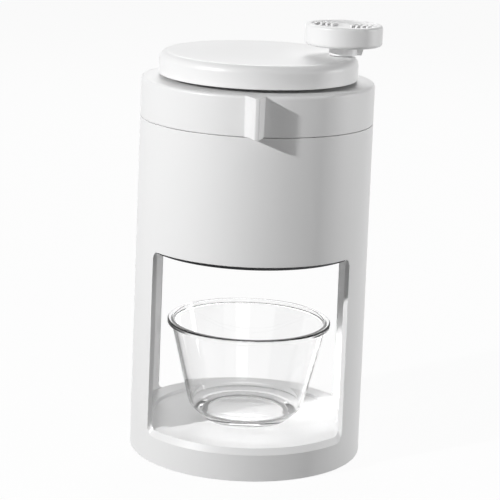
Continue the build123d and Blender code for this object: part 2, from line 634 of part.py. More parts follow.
def drive_shaft():
    """Flanged hexagonal shaft that turns the presser and lets it rise."""
    flange = ring(0, DRIVE_FLANGE_R, z_flange_bottom, z_spigot_bottom)
    plug = post(SPIGOT_BORE_R - PRESS_GAP, z_spigot_bottom, z_ring_top)
    hexagon = RegularPolygon(HEX_FLATS / 2, 6, major_radius=False)
    hexagon = fillet(hexagon.vertices(), HEX_ROUND)
    shaft = extrude(Pos(0, 0, z_shaft_end) * hexagon, z_flange_bottom - z_shaft_end,
                    dir=(0, 0, 1))
    holes = [post(SCREW_R + SCREW_GAP, z_flange_bottom - SINK, z_spigot_bottom + SINK, x, y)
             for x, y in shaft_screw_places]
    stop_hole = post(SCREW_R + SCREW_GAP, z_shaft_end - SINK,
                     z_shaft_end + STOP_SCREW_GRIP + BLIND_END)
    return flange + plug + shaft - holes - stop_hole


def shaft_screws():
    """Three screws that join the drive shaft's flange to the crank disc's spigot."""
    head_low = z_flange_bottom - SCREW_HEAD_HEIGHT
    return [screw(x, y, head_low, z_spigot_bottom + SHAFT_SCREW_GRIP)
            for x, y in shaft_screw_places]


def stop_washer():
    """Washer that keeps the presser from sliding off the shaft."""
    return ring(SCREW_R + HEAD_GAP, STOP_WASHER_R, z_shaft_end - STOP_WASHER_THICKNESS, z_shaft_end)


def stop_screw():
    """Screw that holds the stop washer."""
    return screw(0, 0, z_shaft_end - STOP_WASHER_THICKNESS - SCREW_HEAD_HEIGHT,
                 z_shaft_end + STOP_SCREW_GRIP)


# ---- presser ---------------------------------------------------------------------------
outer_spikes_r = presser_r - SPIKE_EDGE
spike_places = (around(INNER_SPIKES, outer_spikes_r - SPIKE_RING_STEP,
                       first=180.0 / INNER_SPIKES)
                + around(OUTER_SPIKES, outer_spikes_r, first=180.0 / OUTER_SPIKES))


def presser_plate():
    """Plate with a telescoping sleeve, a raised rim, drive paddles and sockets for spikes."""
    seat_in = SPRING_R + SPRING_WIRE_R + SPRING_SEAT_GAP
    seat_out = seat_in + SPRING_SEAT_WALL
    seat_top = z_presser_top + SPRING_SEAT_HEIGHT
    collar_r = SLEEVE_R + SLEEVE_COLLAR
    rim_in = presser_r - PRESSER_RIM_WALL
    rim_top = z_presser_top + PRESSER_RIM_HEIGHT
    body = turned([(SLEEVE_BORE_R, z_bore_cap), (collar_r, z_bore_cap), (collar_r, z_presser),
                   (presser_r, z_presser), (presser_r, rim_top), (rim_in, rim_top),
                   (rim_in, z_presser_top), (seat_out, z_presser_top), (seat_out, seat_top),
                   (seat_in, seat_top), (seat_in, z_presser_top), (SLEEVE_R, z_presser_top),
                   (SLEEVE_R, z_sleeve_top), (0, z_sleeve_top), (0, z_guide),
                   (SLEEVE_BORE_R, z_guide)],
                  rounds=[((presser_r, z_presser), PRESSER_ROUND)])
    hexagon = RegularPolygon(HEX_FLATS / 2 + HEX_GAP, 6, major_radius=False)
    hexagon = extrude(Pos(0, 0, z_guide - SINK) * hexagon, GUIDE_LENGTH + 2 * SINK, dir=(0, 0, 1))
    ribs = radial_ribs(PADDLES, seat_out - SINK / 2, rim_in + SINK, PADDLE_THICKNESS,
                       z_presser_top - SINK, rim_top - RIB_BELOW_RIM)
    paddles = radial_ribs(PADDLES, SLEEVE_R, presser_r - PADDLE_INSET, PADDLE_THICKNESS,
                          z_presser - PADDLE_DEPTH, z_presser + SINK)
    sockets = [post(SPIKE_R + PRESS_GAP, z_presser - SINK, z_presser + SPIKE_ROOT, x, y)
               for x, y in spike_places]
    return body + ribs + paddles - hexagon - sockets


def presser_spikes():
    """Pointed steel pins that grip the ice."""
    cone = SPIKE_LENGTH * SPIKE_POINT_SHARE
    pin = turned([(0, z_spike_tip), (SPIKE_R, z_spike_tip + cone),
                  (SPIKE_R, z_presser + SPIKE_ROOT), (0, z_presser + SPIKE_ROOT)])
    return [Pos(x, y, 0) * pin for x, y in spike_places]


def bore_cap():
    """Plug that closes the sleeve's bore on the ice side."""
    return ring(0, SLEEVE_BORE_R - PRESS_GAP, z_bore_cap, z_bore_floor)


def presser_spring():
    """Coil spring between the drive shaft's flange and the presser plate."""
    low = z_presser_top + SPRING_WIRE_R + SCREW_GAP
    high = z_flange_bottom - SPRING_WIRE_R - SCREW_GAP
    rise = high - low
    path = Pos(0, 0, low) * Helix(rise / SPRING_TURNS, rise, SPRING_R)
    section = Plane(path @ 0, z_dir=path % 0) * Circle(SPRING_WIRE_R)
    return sweep(section, path)


# ---- knob ------------------------------------------------------------------------------
def at_knob(solid):
    """Moves a piece made about the Z axis to the knob's axis."""
    return Pos(knob_x, 0, 0) * solid


def knob_axle():
    """Shoulder screw that the knob turns on."""
    head_low = z_hub_top + AXLE_RUNNING_GAP + AXLE_WASHER_THICKNESS + AXLE_RUNNING_GAP
    return at_knob(turned(
        [(0, z_disc_top - AXLE_THREAD_LENGTH), (AXLE_THREAD_R, z_disc_top - AXLE_THREAD_LENGTH),
         (AXLE_THREAD_R, z_disc_top), (AXLE_R, z_disc_top), (AXLE_R, head_low),
         (AXLE_HEAD_R, head_low), (AXLE_HEAD_R, head_low + AXLE_HEAD_HEIGHT),
         (0, head_low + AXLE_HEAD_HEIGHT)],
        rounds=[((AXLE_HEAD_R, head_low + AXLE_HEAD_HEIGHT), AXLE_HEAD_ROUND)]))


def axle_washer():
    """Steel washer between the knob's hub and the axle's head."""
    low = z_hub_top + AXLE_RUNNING_GAP
    return at_knob(ring(AXLE_R + AXLE_WASHER_GAP, AXLE_HEAD_R + AXLE_WASHER_REACH, low,
                        low + AXLE_WASHER_THICKNESS))


def knob_hub():
    """Turning sleeve of the knob, with the lug that shows beside it."""
    bore = AXLE_R + AXLE_RUNNING_GAP
    sleeve = turned([(bore, z_hub), (KNOB_HUB_R, z_hub), (KNOB_HUB_R, z_knob),
                     (HUB_NECK_R, z_knob), (HUB_NECK_R, z_hub_top), (bore, z_hub_top)],
                    rounds=[((KNOB_HUB_R, z_hub), HUB_ROUND)])
    lug = turned([(KNOB_HUB_R - SINK, z_hub), (LUG_BOTTOM_R, z_hub), (LUG_TOP_R, z_knob),
                  (KNOB_HUB_R - SINK, z_knob)], start=HUB_LUG_START, angle=HUB_LUG_SPAN)
    return at_knob(sleeve + lug)


def knob_body():
    """Round shell of the knob, open at the top for its cap."""
    bore = HUB_NECK_R + PRESS_GAP
    seat = CAP_R + PRESS_GAP
    inner = KNOB_R - KNOB_WALL
    floor = z_knob + KNOB_WALL
    step = seat - CAP_SEAT_WIDTH
    under_step = z_cap - CAP_SEAT_WIDTH
    return at_knob(turned(
        [(bore, z_knob), (KNOB_R, z_knob), (KNOB_R, z_knob_top), (seat, z_knob_top),
         (seat, z_cap), (step, z_cap), (step, under_step), (inner, under_step - inner + step),
         (inner, floor), (bore, floor)],
        rounds=[((KNOB_R, z_knob_top), KNOB_TOP_ROUND), ((KNOB_R, z_knob), KNOB_BOTTOM_ROUND),
                ((inner, floor), KNOB_FLOOR_ROUND)]))


def knob_cap():
    """Dished cap with two groups of slanting finger-grip bars."""
    dish_z = z_cap_top - DISH_DEPTH
    dish_r = CAP_R - DISH_RIM
    plate = turned([(0, z_cap), (CAP_R, z_cap), (CAP_R, z_cap_top), (dish_r, z_cap_top),
                    (dish_r - DISH_WALL_RUN, dish_z + DISH_SAG), (0, dish_z - DISH_SAG)])
    bars = []
    for side in (-1, 1):
        for i in range(GRIP_BARS):
            x = side * (GRIP_BAR_FIRST + i * GRIP_BAR_PITCH)
            bar = block(-GRIP_BAR_LENGTH / 2, GRIP_BAR_LENGTH / 2, -GRIP_BAR_WIDTH / 2,
                        GRIP_BAR_WIDTH / 2, dish_z - 2 * DISH_SAG, z_cap_top)
            bars.append(Pos(x, x * GRIP_LINE_SLOPE, 0) * Rot(0, 0, GRIP_BAR_LEAN) * bar)
    inside = post(dish_r - DISH_SAG, z_cap + DISH_SAG, z_knob_top)
    return at_knob(plate + [bar & inside for bar in bars])


# ---- bowl ------------------------------------------------------------------------------
def bowl_wall_r(height):
    """Outside radius of the bowl's straight wall at a height over its foot."""
    return BOWL_RIM_R - BOWL_RIM_REACH - (BOWL_H - BOWL_RIM_HEIGHT - height) * BOWL_SLOPE


def glass_bowl():
    """Thick-based glass bowl with a rolled rim."""
    rim_low = BOWL_H - BOWL_RIM_HEIGHT
    hollow_r = BOWL_FOOT_R - BOWL_FOOT_RING
    lip = (bowl_wall_r(BOWL_H) - BOWL_WALL + BOWL_LIP_STEP, BOWL_H)
    inner_corner = (bowl_wall_r(BOWL_FLOOR) - BOWL_WALL, BOWL_FLOOR)
    shoulder = (bowl_wall_r(BOWL_SHOULDER_H), BOWL_SHOULDER_H)
    bowl = turned(
        [(0, BOWL_FOOT_HOLLOW), (hollow_r - SINK, BOWL_FOOT_HOLLOW), (hollow_r, 0),
         (BOWL_FOOT_R, 0), shoulder, (bowl_wall_r(rim_low), rim_low), (BOWL_RIM_R, rim_low),
         (BOWL_RIM_R, BOWL_H), lip, inner_corner, (0, BOWL_FLOOR)],
        rounds=[(shoulder, BOWL_SHOULDER_ROUND), ((BOWL_RIM_R, rim_low), BOWL_RIM_LOW_ROUND),
                ((BOWL_RIM_R, BOWL_H), BOWL_RIM_TOP_ROUND), (lip, BOWL_LIP_ROUND),
                (inner_corner, BOWL_FLOOR_ROUND)])
    return Pos(0, 0, z_recess) * bowl


PIECES = (stand_frame, base_cover, base_screws, foot_pad,
          ice_hopper, shaving_blade, blade_holder, blade_screws,
          cover_ring, bearing_bush,
          crank_disc, drive_shaft, shaft_screws, stop_washer, stop_screw,
          presser_plate, presser_spikes, bore_cap, presser_spring,
          knob_axle, axle_washer, knob_hub, knob_body, knob_cap,
          glass_bowl)

os.makedirs("parts", exist_ok=True)
for piece in PIECES:
    made = piece()
    if isinstance(made, list):
        made = Compound(children=made)
    export_step(made, f"parts/{piece.__name__}.step")
    print(piece.__name__, round(made.volume))
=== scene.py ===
"""Looks of a hand-cranked ice shaver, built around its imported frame."""

import logging
import math
from dataclasses import dataclass, field
from enum import Enum
from typing import Any, Iterable, Sequence

import bmesh
import bpy
from mathutils import Matrix, Vector


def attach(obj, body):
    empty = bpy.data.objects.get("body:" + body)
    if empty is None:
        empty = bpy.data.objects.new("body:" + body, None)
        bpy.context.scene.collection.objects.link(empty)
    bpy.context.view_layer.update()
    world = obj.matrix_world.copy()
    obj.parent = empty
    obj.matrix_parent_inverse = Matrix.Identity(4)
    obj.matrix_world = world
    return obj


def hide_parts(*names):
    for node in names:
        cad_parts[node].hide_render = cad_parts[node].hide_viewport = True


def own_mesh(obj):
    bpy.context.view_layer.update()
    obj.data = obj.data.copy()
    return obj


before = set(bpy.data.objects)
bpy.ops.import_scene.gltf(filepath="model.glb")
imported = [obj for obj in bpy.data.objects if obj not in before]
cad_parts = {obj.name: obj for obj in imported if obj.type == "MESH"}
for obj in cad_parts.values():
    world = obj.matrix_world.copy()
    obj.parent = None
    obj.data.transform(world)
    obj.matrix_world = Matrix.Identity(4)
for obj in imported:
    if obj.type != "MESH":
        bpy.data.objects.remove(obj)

log = logging.getLogger("ice_shaver")
Point = tuple[float, float]
MM = 0.001  # metres in a millimetre
SPARE = 1.0  # how far a cutter reaches past what it cuts
EDGE_SHARE = 0.995  # largest share of an edge that one rounded corner takes
ON_AXIS = 1e-6  # radius under which a point counts as on the axis
CREASE = 32.0  # angle in degrees over which an edge is sharp
EASE_MARGIN = 6.0  # how much sharper than that an edge is before it gets a bevel
EASE_SEGMENTS = 2
EVEN_WEIGHT = 80  # share of large faces in the even shading, in percent
TURN_STEPS = 216  # pieces in a whole turn
COIL_STEPS = 48  # pieces in one turn of a coil
WIRE_SIDES = 14  # sides of a coil's wire
WIRE_CREASE = 60.0


# ---------------------------------------------------------------- shader and node helpers
class Kind(Enum):
    """What a wire carries."""

    VALUE = "value"
    COLOUR = "colour"
    VECTOR = "vector"


class Wire:
    """A socket of a node tree that takes part in Python expressions."""

    def __init__(self, tree: "Tree", socket: bpy.types.NodeSocket, kind: Kind = Kind.VALUE) -> None:
        """Wraps a socket.

        Args:
            tree: the tree that holds the socket.
            socket: an output socket.
            kind: what the socket carries.
        """
        self.tree = tree
        self.socket = socket
        self.kind = kind

    def _join(self, operation: str, a: Any, b: Any) -> "Wire":
        """Adds the node for one operation.

        Args:
            operation: name of the Math, Mix or Vector Math operation.
            a: first value or wire.
            b: second value or wire.

        Returns:
            The wire of the result.
        """
        kinds = {w.kind for w in (a, b) if isinstance(w, Wire)}
        if Kind.COLOUR in kinds:
            blends = {"ADD": "ADD", "SUBTRACT": "SUBTRACT", "MULTIPLY": "MULTIPLY", "DIVIDE": "DIVIDE"}
            node = self.tree.node("ShaderNodeMix", {"data_type": "RGBA", "blend_type": blends[operation]})
            node.inputs[0].default_value = 1.0
            self.tree.feed(node.inputs[6], a)
            self.tree.feed(node.inputs[7], b)
            return Wire(self.tree, node.outputs[2], Kind.COLOUR)
        if Kind.VECTOR in kinds:
            node = self.tree.node("ShaderNodeVectorMath", {"operation": operation})
            self.tree.feed(node.inputs[0], a)
            self.tree.feed(node.inputs[1], b)
            return Wire(self.tree, node.outputs[0], Kind.VECTOR)
        node = self.tree.node("ShaderNodeMath", {"operation": operation})
        self.tree.feed(node.inputs[0], a)
        self.tree.feed(node.inputs[1], b)
        return Wire(self.tree, node.outputs[0])

    def __add__(self, other: Any) -> "Wire":
        """Sum."""
        return self._join("ADD", self, other)

    def __radd__(self, other: Any) -> "Wire":
        """Sum with the wire on the right."""
        return self._join("ADD", other, self)

    def __sub__(self, other: Any) -> "Wire":
        """Difference."""
        return self._join("SUBTRACT", self, other)

    def __rsub__(self, other: Any) -> "Wire":
        """Difference with the wire on the right."""
        return self._join("SUBTRACT", other, self)

    def __mul__(self, other: Any) -> "Wire":
        """Product."""
        return self._join("MULTIPLY", self, other)

    def __rmul__(self, other: Any) -> "Wire":
        """Product with the wire on the right."""
        return self._join("MULTIPLY", other, self)

    def __truediv__(self, other: Any) -> "Wire":
        """Quotient."""
        return self._join("DIVIDE", self, other)

    def __pow__(self, other: Any) -> "Wire":
        """Power."""
        return self._join("POWER", self, other)


class Tree:
    """A node tree with one method that makes any node."""

    def __init__(self, tree: bpy.types.NodeTree) -> None:
        """Keeps the tree.

        Args:
            tree: a shader or geometry tree.
        """
        self.tree = tree

    def feed(self, socket: bpy.types.NodeSocket, value: Any) -> None:
        """Links a wire or sets a plain value.

        Args:
            socket: the input socket.
            value: a Wire, a socket or a plain value.
        """
        if isinstance(value, Wire):
            self.tree.links.new(value.socket, socket)
        elif isinstance(value, bpy.types.NodeSocket):
            self.tree.links.new(value, socket)
        elif isinstance(value, float) and socket.type == "RGBA":
            socket.default_value = (value, value, value, 1.0)
        else:
            socket.default_value = value

    def node(self, kind: str, settings: dict[str, Any] | None = None,
             inputs: dict[Any, Any] | None = None) -> bpy.types.Node:
        """Makes a node: first its settings, then its sockets.

        Args:
            kind: the node's type.
            settings: properties, such as an operation; "stops" holds a ramp's stops.
            inputs: values or wires by socket name or number.

        Returns:
            The new node.
        """
        made = self.tree.nodes.new(kind)
        for name, value in (settings or {}).items():
            if name == "stops":
                ramp = made.color_ramp
                while len(ramp.elements) < len(value):
                    ramp.elements.new(0.5)
                for element, (place, grey) in zip(ramp.elements, value):
                    element.position = place
                    element.color = (grey, grey, grey, 1.0)
            else:
                setattr(made, name, value)
        for name, value in (inputs or {}).items():
            self.feed(made.inputs[name], value)
        return made

    def value(self, kind: str, settings: dict[str, Any] | None = None,
              inputs: dict[Any, Any] | None = None, out: Any = 0) -> Wire:
        """Makes a node and gives one of its outputs as a number.

        Args:
            kind: the node's type.
            settings: properties set first.
            inputs: values or wires by socket.
            out: output socket, by name or number.

        Returns:
            The wire of that output.
        """
        return Wire(self, self.node(kind, settings, inputs).outputs[out])

    def noise(self, place: Any, scale: float, detail: float = 2.0) -> Wire:
        """Noise between 0 and 1.

        Args:
            place: coordinates.
            scale: features in a metre.
            detail: octaves.

        Returns:
            The wire of the noise.
        """
        return self.value("ShaderNodeTexNoise", {}, {"Vector": place, "Scale": scale, "Detail": detail})

    def blend(self, share: Any, a: Sequence[float], b: Sequence[float]) -> Wire:
        """Colour between two colours.

        Args:
            share: share of the second colour.
            a: first colour.
            b: second colour.

        Returns:
            The wire of the colour.
        """
        node = self.node("ShaderNodeMix", {"data_type": "RGBA"})
        self.feed(node.inputs[0], share)
        node.inputs[6].default_value = (*a, 1.0)
        node.inputs[7].default_value = (*b, 1.0)
        return Wire(self, node.outputs[2], Kind.COLOUR)


def new_material(name: str) -> tuple[bpy.types.Material, Tree, bpy.types.Node]:
    """Makes an empty material with its main shader.

    Args:
        name: the material's name.

    Returns:
        The material, its tree and its Principled shader.
    """
    made = bpy.data.materials.new(name)
    made.use_nodes = True
    tree = made.node_tree
    tree.nodes.clear()
    out = tree.nodes.new("ShaderNodeOutputMaterial")
    shader = tree.nodes.new("ShaderNodeBsdfPrincipled")
    tree.links.new(shader.outputs[0], out.inputs["Surface"])
    return made, Tree(tree), shader


# ---------------------------------------------------------------- finishes
@dataclass(frozen=True)
class Recipe:
    """What every finish shares: its name and the start of its material."""

    name: str

    def start(self) -> tuple[bpy.types.Material, Tree, bpy.types.Node, Wire]:
        """Makes an empty material.

        Returns:
            The material, its tree, its shader and the wire of the Object coordinates.
        """
        made, tree, shader = new_material(self.name)
        place = Wire(tree, tree.node("ShaderNodeTexCoord").outputs["Object"], Kind.VECTOR)
        return made, tree, shader, place

    @staticmethod
    def relief(tree: Tree, shader: bpy.types.Node, strength: float, depth_mm: float, height: Wire) -> None:
        """Gives a material its fine relief.

        Args:
            tree: the material's tree.
            shader: its shader.
            strength: strength of the relief.
            depth_mm: its depth in millimetres.
            height: the wire of its height, from 0 to 1.
        """
        bump = tree.node("ShaderNodeBump", {}, {"Strength": strength, "Distance": depth_mm * MM,
                                                "Height": height})
        tree.feed(shader.inputs["Normal"], bump.outputs[0])


@dataclass(frozen=True)
class MouldedPlastic(Recipe):
    """Satin moulded plastic with a fine eroded grain and a faint flow mottle."""

    colour: tuple[float, float, float] = (0.86, 0.86, 0.86)
    mottle: float = 0.015
    flow_scale: float = 14.0
    speck_from: float = 0.70
    speck_full: float = 0.86
    speck_share: float = 0.2
    roughness: float = 0.38
    roughness_swing: float = 0.08
    grain_mm: float = 0.25
    grain_depth_mm: float = 0.006
    grain_swing: float = 0.04
    relief_strength: float = 0.5
    ior: float = 1.49

    def make(self) -> bpy.types.Material:
        """Builds the material.

        Returns:
            The material.
        """
        made, tree, shader, place = self.start()
        flow = tree.noise(place, self.flow_scale, 3.0)
        grain = tree.noise(place, 1.0 / (self.grain_mm * MM), 2.0)
        stops = [(self.speck_from, 0.0), (self.speck_full, 1.0)]
        speck = tree.value("ShaderNodeValToRGB", {"stops": stops}, {0: grain})
        darker = tuple(c * (1.0 - self.mottle) for c in self.colour)
        share = flow * (1.0 - self.speck_share) + speck * self.speck_share
        tree.feed(shader.inputs["Base Color"], tree.blend(share, self.colour, darker))
        smoothest = self.roughness - self.roughness_swing / 2 - self.grain_swing / 2
        tree.feed(shader.inputs["Roughness"],
                  flow * self.roughness_swing + grain * self.grain_swing + smoothest)
        self.relief(tree, shader, self.relief_strength, self.grain_depth_mm, grain)
        shader.inputs["IOR"].default_value = self.ior
        return made


@dataclass(frozen=True)
class BrushedMetal(Recipe):
    """Steel with fine drawn lines and a faint stain."""

    colour: tuple[float, float, float] = (0.62, 0.62, 0.63)
    dark_share: float = 0.82
    line_share: float = 0.6
    roughness: float = 0.28
    roughness_swing: float = 0.16
    stretch: tuple[float, float, float] = (60.0, 60.0, 3000.0)
    stain_scale: float = 120.0
    line_depth_mm: float = 0.004
    relief_strength: float = 0.4

    def make(self) -> bpy.types.Material:
        """Builds the material.

        Returns:
            The material.
        """
        made, tree, shader, place = self.start()
        lines = tree.noise(place * self.stretch, 1.0, 4.0)
        stain = tree.noise(place, self.stain_scale, 2.0)
        darker = tuple(c * self.dark_share for c in self.colour)
        share = lines * self.line_share + stain * (1.0 - self.line_share)
        tree.feed(shader.inputs["Base Color"], tree.blend(share, self.colour, darker))
        tree.feed(shader.inputs["Roughness"],
                  lines * self.roughness_swing + (self.roughness - self.roughness_swing / 2))
        self.relief(tree, shader, self.relief_strength, self.line_depth_mm, lines)
        shader.inputs["Metallic"].default_value = 1.0
        return made


@dataclass(frozen=True)
class SoftRubber(Recipe):
    """Matte anti-slip rubber with a coarse grain and a little dust."""

    colour: tuple[float, float, float] = (0.055, 0.055, 0.058)
    dust_share: float = 1.6
    dust_scale: float = 60.0
    grain_scale: float = 1600.0
    roughness: float = 0.74
    roughness_swing: float = 0.12
    grain_depth_mm: float = 0.03
    relief_strength: float = 0.6

    def make(self) -> bpy.types.Material:
        """Builds the material.

        Returns:
            The material.
        """
        made, tree, shader, place = self.start()
        grain = tree.noise(place, self.grain_scale, 3.0)
        dust = tree.noise(place, self.dust_scale, 3.0)
        paler = tuple(c * self.dust_share for c in self.colour)
        tree.feed(shader.inputs["Base Color"], tree.blend(dust, self.colour, paler))
        tree.feed(shader.inputs["Roughness"], grain * self.roughness_swing + self.roughness)
        self.relief(tree, shader, self.relief_strength, self.grain_depth_mm, grain)
        return made


@dataclass(frozen=True)
class PressedGlass(Recipe):
    """Clear pressed glass with a slightly uneven surface, which casts only a faint shadow."""

    colour: tuple[float, float, float] = (0.99, 0.99, 0.99)
    smear_share: float = 0.985
    smear_scale: float = 130.0
    wave_scale: float = 45.0
    roughness: float = 0.005
    roughness_swing: float = 0.02
    wave_depth_mm: float = 0.15
    relief_strength: float = 0.3
    clear_shadow: float = 0.86
    ior: float = 1.5

    def make(self) -> bpy.types.Material:
        """Builds the material.

        Returns:
            The material.
        """
        made, tree, shader, place = self.start()
        wave = tree.noise(place, self.wave_scale, 1.0)
        smear = tree.noise(place, self.smear_scale, 3.0)
        smeared = tuple(c * self.smear_share for c in self.colour)
        tree.feed(shader.inputs["Base Color"], tree.blend(smear, self.colour, smeared))
        tree.feed(shader.inputs["Roughness"], smear * self.roughness_swing + self.roughness)
        self.relief(tree, shader, self.relief_strength, self.wave_depth_mm, wave)
        shadow = Wire(tree, tree.node("ShaderNodeLightPath").outputs["Is Shadow Ray"])
        tree.feed(shader.inputs["Alpha"], 1.0 - shadow * self.clear_shadow)
        shader.inputs["Transmission Weight"].default_value = 1.0
        shader.inputs["IOR"].default_value = self.ior
        return made


class Finish(Enum):
    """The finishes of this object, each with the record's material slot."""

    BODY = "body_white"
    HOPPER = "hopper_white"
    INNER = "inner_white"
    BEARING = "bearing_natural"
    STEEL = "steel"
    PAD = "pad_grey"
    GLASS = "bowl_glass"


class Palette:
    """Makes each finish once."""

    def __init__(self) -> None:
        """Builds every material."""
        recipes = {
            Finish.BODY: MouldedPlastic("white_satin_plastic"),
            Finish.HOPPER: MouldedPlastic("hopper_plastic", colour=(0.82, 0.82, 0.825), roughness=0.34,
                                          grain_depth_mm=0.004),
            Finish.INNER: MouldedPlastic("inner_plastic", colour=(0.78, 0.78, 0.77), roughness=0.45,
                                         mottle=0.03),
            Finish.BEARING: MouldedPlastic("bearing_plastic", colour=(0.72, 0.70, 0.62), roughness=0.3,
                                           mottle=0.04),
            Finish.STEEL: BrushedMetal("drawn_steel"),
            Finish.PAD: SoftRubber("pad_rubber"),
            Finish.GLASS: PressedGlass("clear_glass"),
        }
        self.made = {finish: recipe.make() for finish, recipe in recipes.items()}

    def __getitem__(self, finish: Finish) -> bpy.types.Material:
        """The material of a finish."""
        return self.made[finish]


# ---------------------------------------------------------------- meshes
def rounded(outline: Sequence[Point], rounds: Iterable[tuple[Point, float]], steps: int = 8) -> list[Point]:
    """Turns some corners of a closed outline into arcs.

    Args:
        outline: the corners in order.
        rounds: pairs of a corner and its radius.
        steps: pieces in each arc.

    Returns:
        The new outline.
    """
    radii = dict(rounds)
    out: list[Point] = []
    for i, corner in enumerate(outline):
        radius = radii.get(corner, 0.0)
        if not radius:
            out.append(corner)
            continue
        here = Vector(corner)
        before = Vector(outline[i - 1]) - here
        after = Vector(outline[(i + 1) % len(outline)]) - here
        ua, ub = before.normalized(), after.normalized()
        half = ua.angle(ub) / 2
        cut = min(radius / math.tan(half), before.length * EDGE_SHARE, after.length * EDGE_SHARE)
        radius = cut * math.tan(half)
        centre = here + (ua + ub).normalized() * (radius / math.sin(half))
        first, last = here + ua * cut - centre, here + ub * cut - centre
        sweep = first.angle_signed(last)
        for k in range(steps + 1):
            a = -sweep * k / steps
            out.append((centre.x + first.x * math.cos(a) - first.y * math.sin(a),
                        centre.y + first.x * math.sin(a) + first.y * math.cos(a)))
    return out


def area(outline: Sequence[Point]) -> float:
    """Signed area of a closed outline.

    Args:
        outline: the corners in order.

    Returns:
        The area, positive when the corners run anticlockwise.
    """
    return sum(a[0] * b[1] - b[0] * a[1] for a, b in zip(outline, [*outline[1:], outline[0]])) / 2


class Solid:
    """Closed shells gathered into one mesh, in millimetres."""

    def __init__(self) -> None:
        """Starts with no shell."""
        self.points: list[tuple[float, float, float]] = []
        self.faces: list[list[int]] = []
        self.plain: set[int] = set()

    def shell(self, points: Sequence[Sequence[float]], faces: Sequence[Sequence[int]]) -> "Solid":
        """Adds a shell.

        Args:
            points: its corners.
            faces: its faces, by corner number, turned outwards.

        Returns:
            This solid.
        """
        base = len(self.points)
        self.points.extend(tuple(p) for p in points)
        self.faces.extend([base + i for i in face] for face in faces)
        return self

    def turn(self, outline: Sequence[Point], rounds: Iterable[tuple[Point, float]] = (),
             start: float = 0.0, angle: float = 360.0, steps: int = TURN_STEPS, x: float = 0.0,
             y: float = 0.0) -> "Solid":
        """Adds an outline of (radius, height) turned about an upright axis.

        Args:
            outline: closed outline.
            rounds: corners to round, with their radii.
            start: first angle in degrees.
            angle: angle turned through.
            steps: pieces in a whole turn.
            x: place of the axis.
            y: place of the axis.

        Returns:
            This solid.
        """
        profile = rounded(outline, rounds)
        if area(profile) < 0:
            profile.reverse()
        full = angle >= 360.0
        count = max(3, round(steps * angle / 360.0))
        points: list[tuple[float, float, float]] = []
        index: list[list[int]] = []
        poles: dict[int, int] = {}
        for k in range(count if full else count + 1):
            a = math.radians(start + angle * k / count)
            row = []
            for j, (r, z) in enumerate(profile):
                if r < ON_AXIS:
                    if j not in poles:
                        poles[j] = len(points)
                        points.append((x, y, z))
                    row.append(poles[j])
                else:
                    row.append(len(points))
                    points.append((x + r * math.cos(a), y + r * math.sin(a), z))
            index.append(row)
        faces = []
        for k in range(count):
            here, there = index[k], index[(k + 1) % len(index)]
            for j in range(len(profile)):
                n = (j + 1) % len(profile)
                ring = [here[j], there[j], there[n], here[n]]
                ring = [v for i, v in enumerate(ring) if v != ring[i - 1]]
                if len(set(ring)) > 2:
                    faces.append(ring)
        if not full:
            faces.append(list(index[0]))
            faces.append(list(reversed(index[-1])))
        return self.shell(points, faces)

    def prism(self, plan: Sequence[Point], low: float, high: float) -> "Solid":
        """Adds an upright prism.

        Args:
            plan: its outline seen from above.
            low: height of its foot.
            high: height of its top.

        Returns:
            This solid.
        """
        plan = list(plan) if area(plan) > 0 else list(reversed(plan))
        n = len(plan)
        points = [(px, py, low) for px, py in plan] + [(px, py, high) for px, py in plan]
        faces = [[i, (i + 1) % n, n + (i + 1) % n, n + i] for i in range(n)]
        faces += [list(reversed(range(n))), list(range(n, 2 * n))]
        return self.shell(points, faces)

    def block(self, x0: float, x1: float, y0: float, y1: float, low: float, high: float) -> "Solid":
        """Adds a box between six planes."""
        return self.prism([(x0, y0), (x1, y0), (x1, y1), (x0, y1)], low, high)

    def object(self, name: str, bevel: float = 0.0, crease: float = CREASE) -> bpy.types.Object:
        """Makes the object, with eased edges and even shading.

        Args:
            name: the object's name.
            bevel: width of the eased edges in millimetres.
            crease: angle in degrees over which an edge is sharp.

        Returns:
            The finished object.
        """
        mesh = bpy.data.meshes.new(name)
        mesh.from_pydata([(px * MM, py * MM, pz * MM) for px, py, pz in self.points], [], self.faces)
        made = bpy.data.objects.new(name, mesh)
        bpy.context.scene.collection.objects.link(made)
        if bevel:
            self._mark(mesh, crease)
            tool = made.modifiers.new("ease", "BEVEL")
            tool.width = bevel * MM
            tool.segments = EASE_SEGMENTS
            tool.limit_method = "WEIGHT"
            tool.use_clamp_overlap = True
        return settle(made, crease)

    def _mark(self, mesh: bpy.types.Mesh, crease: float) -> None:
        """Gives the creased edges a bevel weight, but not those between plain points.

        Args:
            mesh: the mesh of this solid.
            crease: angle in degrees over which an edge is sharp.
        """
        bm = bmesh.new()
        bm.from_mesh(mesh)
        weight = bm.edges.layers.float.new("bevel_weight_edge")
        for edge in bm.edges:
            between_plain = all(v.index in self.plain for v in edge.verts)
            if len(edge.link_faces) == 2 and not between_plain:
                edge[weight] = float(edge.calc_face_angle(0.0) > math.radians(crease + EASE_MARGIN))
        bm.to_mesh(mesh)
        bm.free()


def bake(made: bpy.types.Object) -> None:
    """Turns what an object's modifiers make into its plain mesh.

    Args:
        made: the object, which loses its modifiers.
    """
    graph = bpy.context.evaluated_depsgraph_get()
    mesh = bpy.data.meshes.new_from_object(made.evaluated_get(graph))
    made.modifiers.clear()
    made.data = mesh


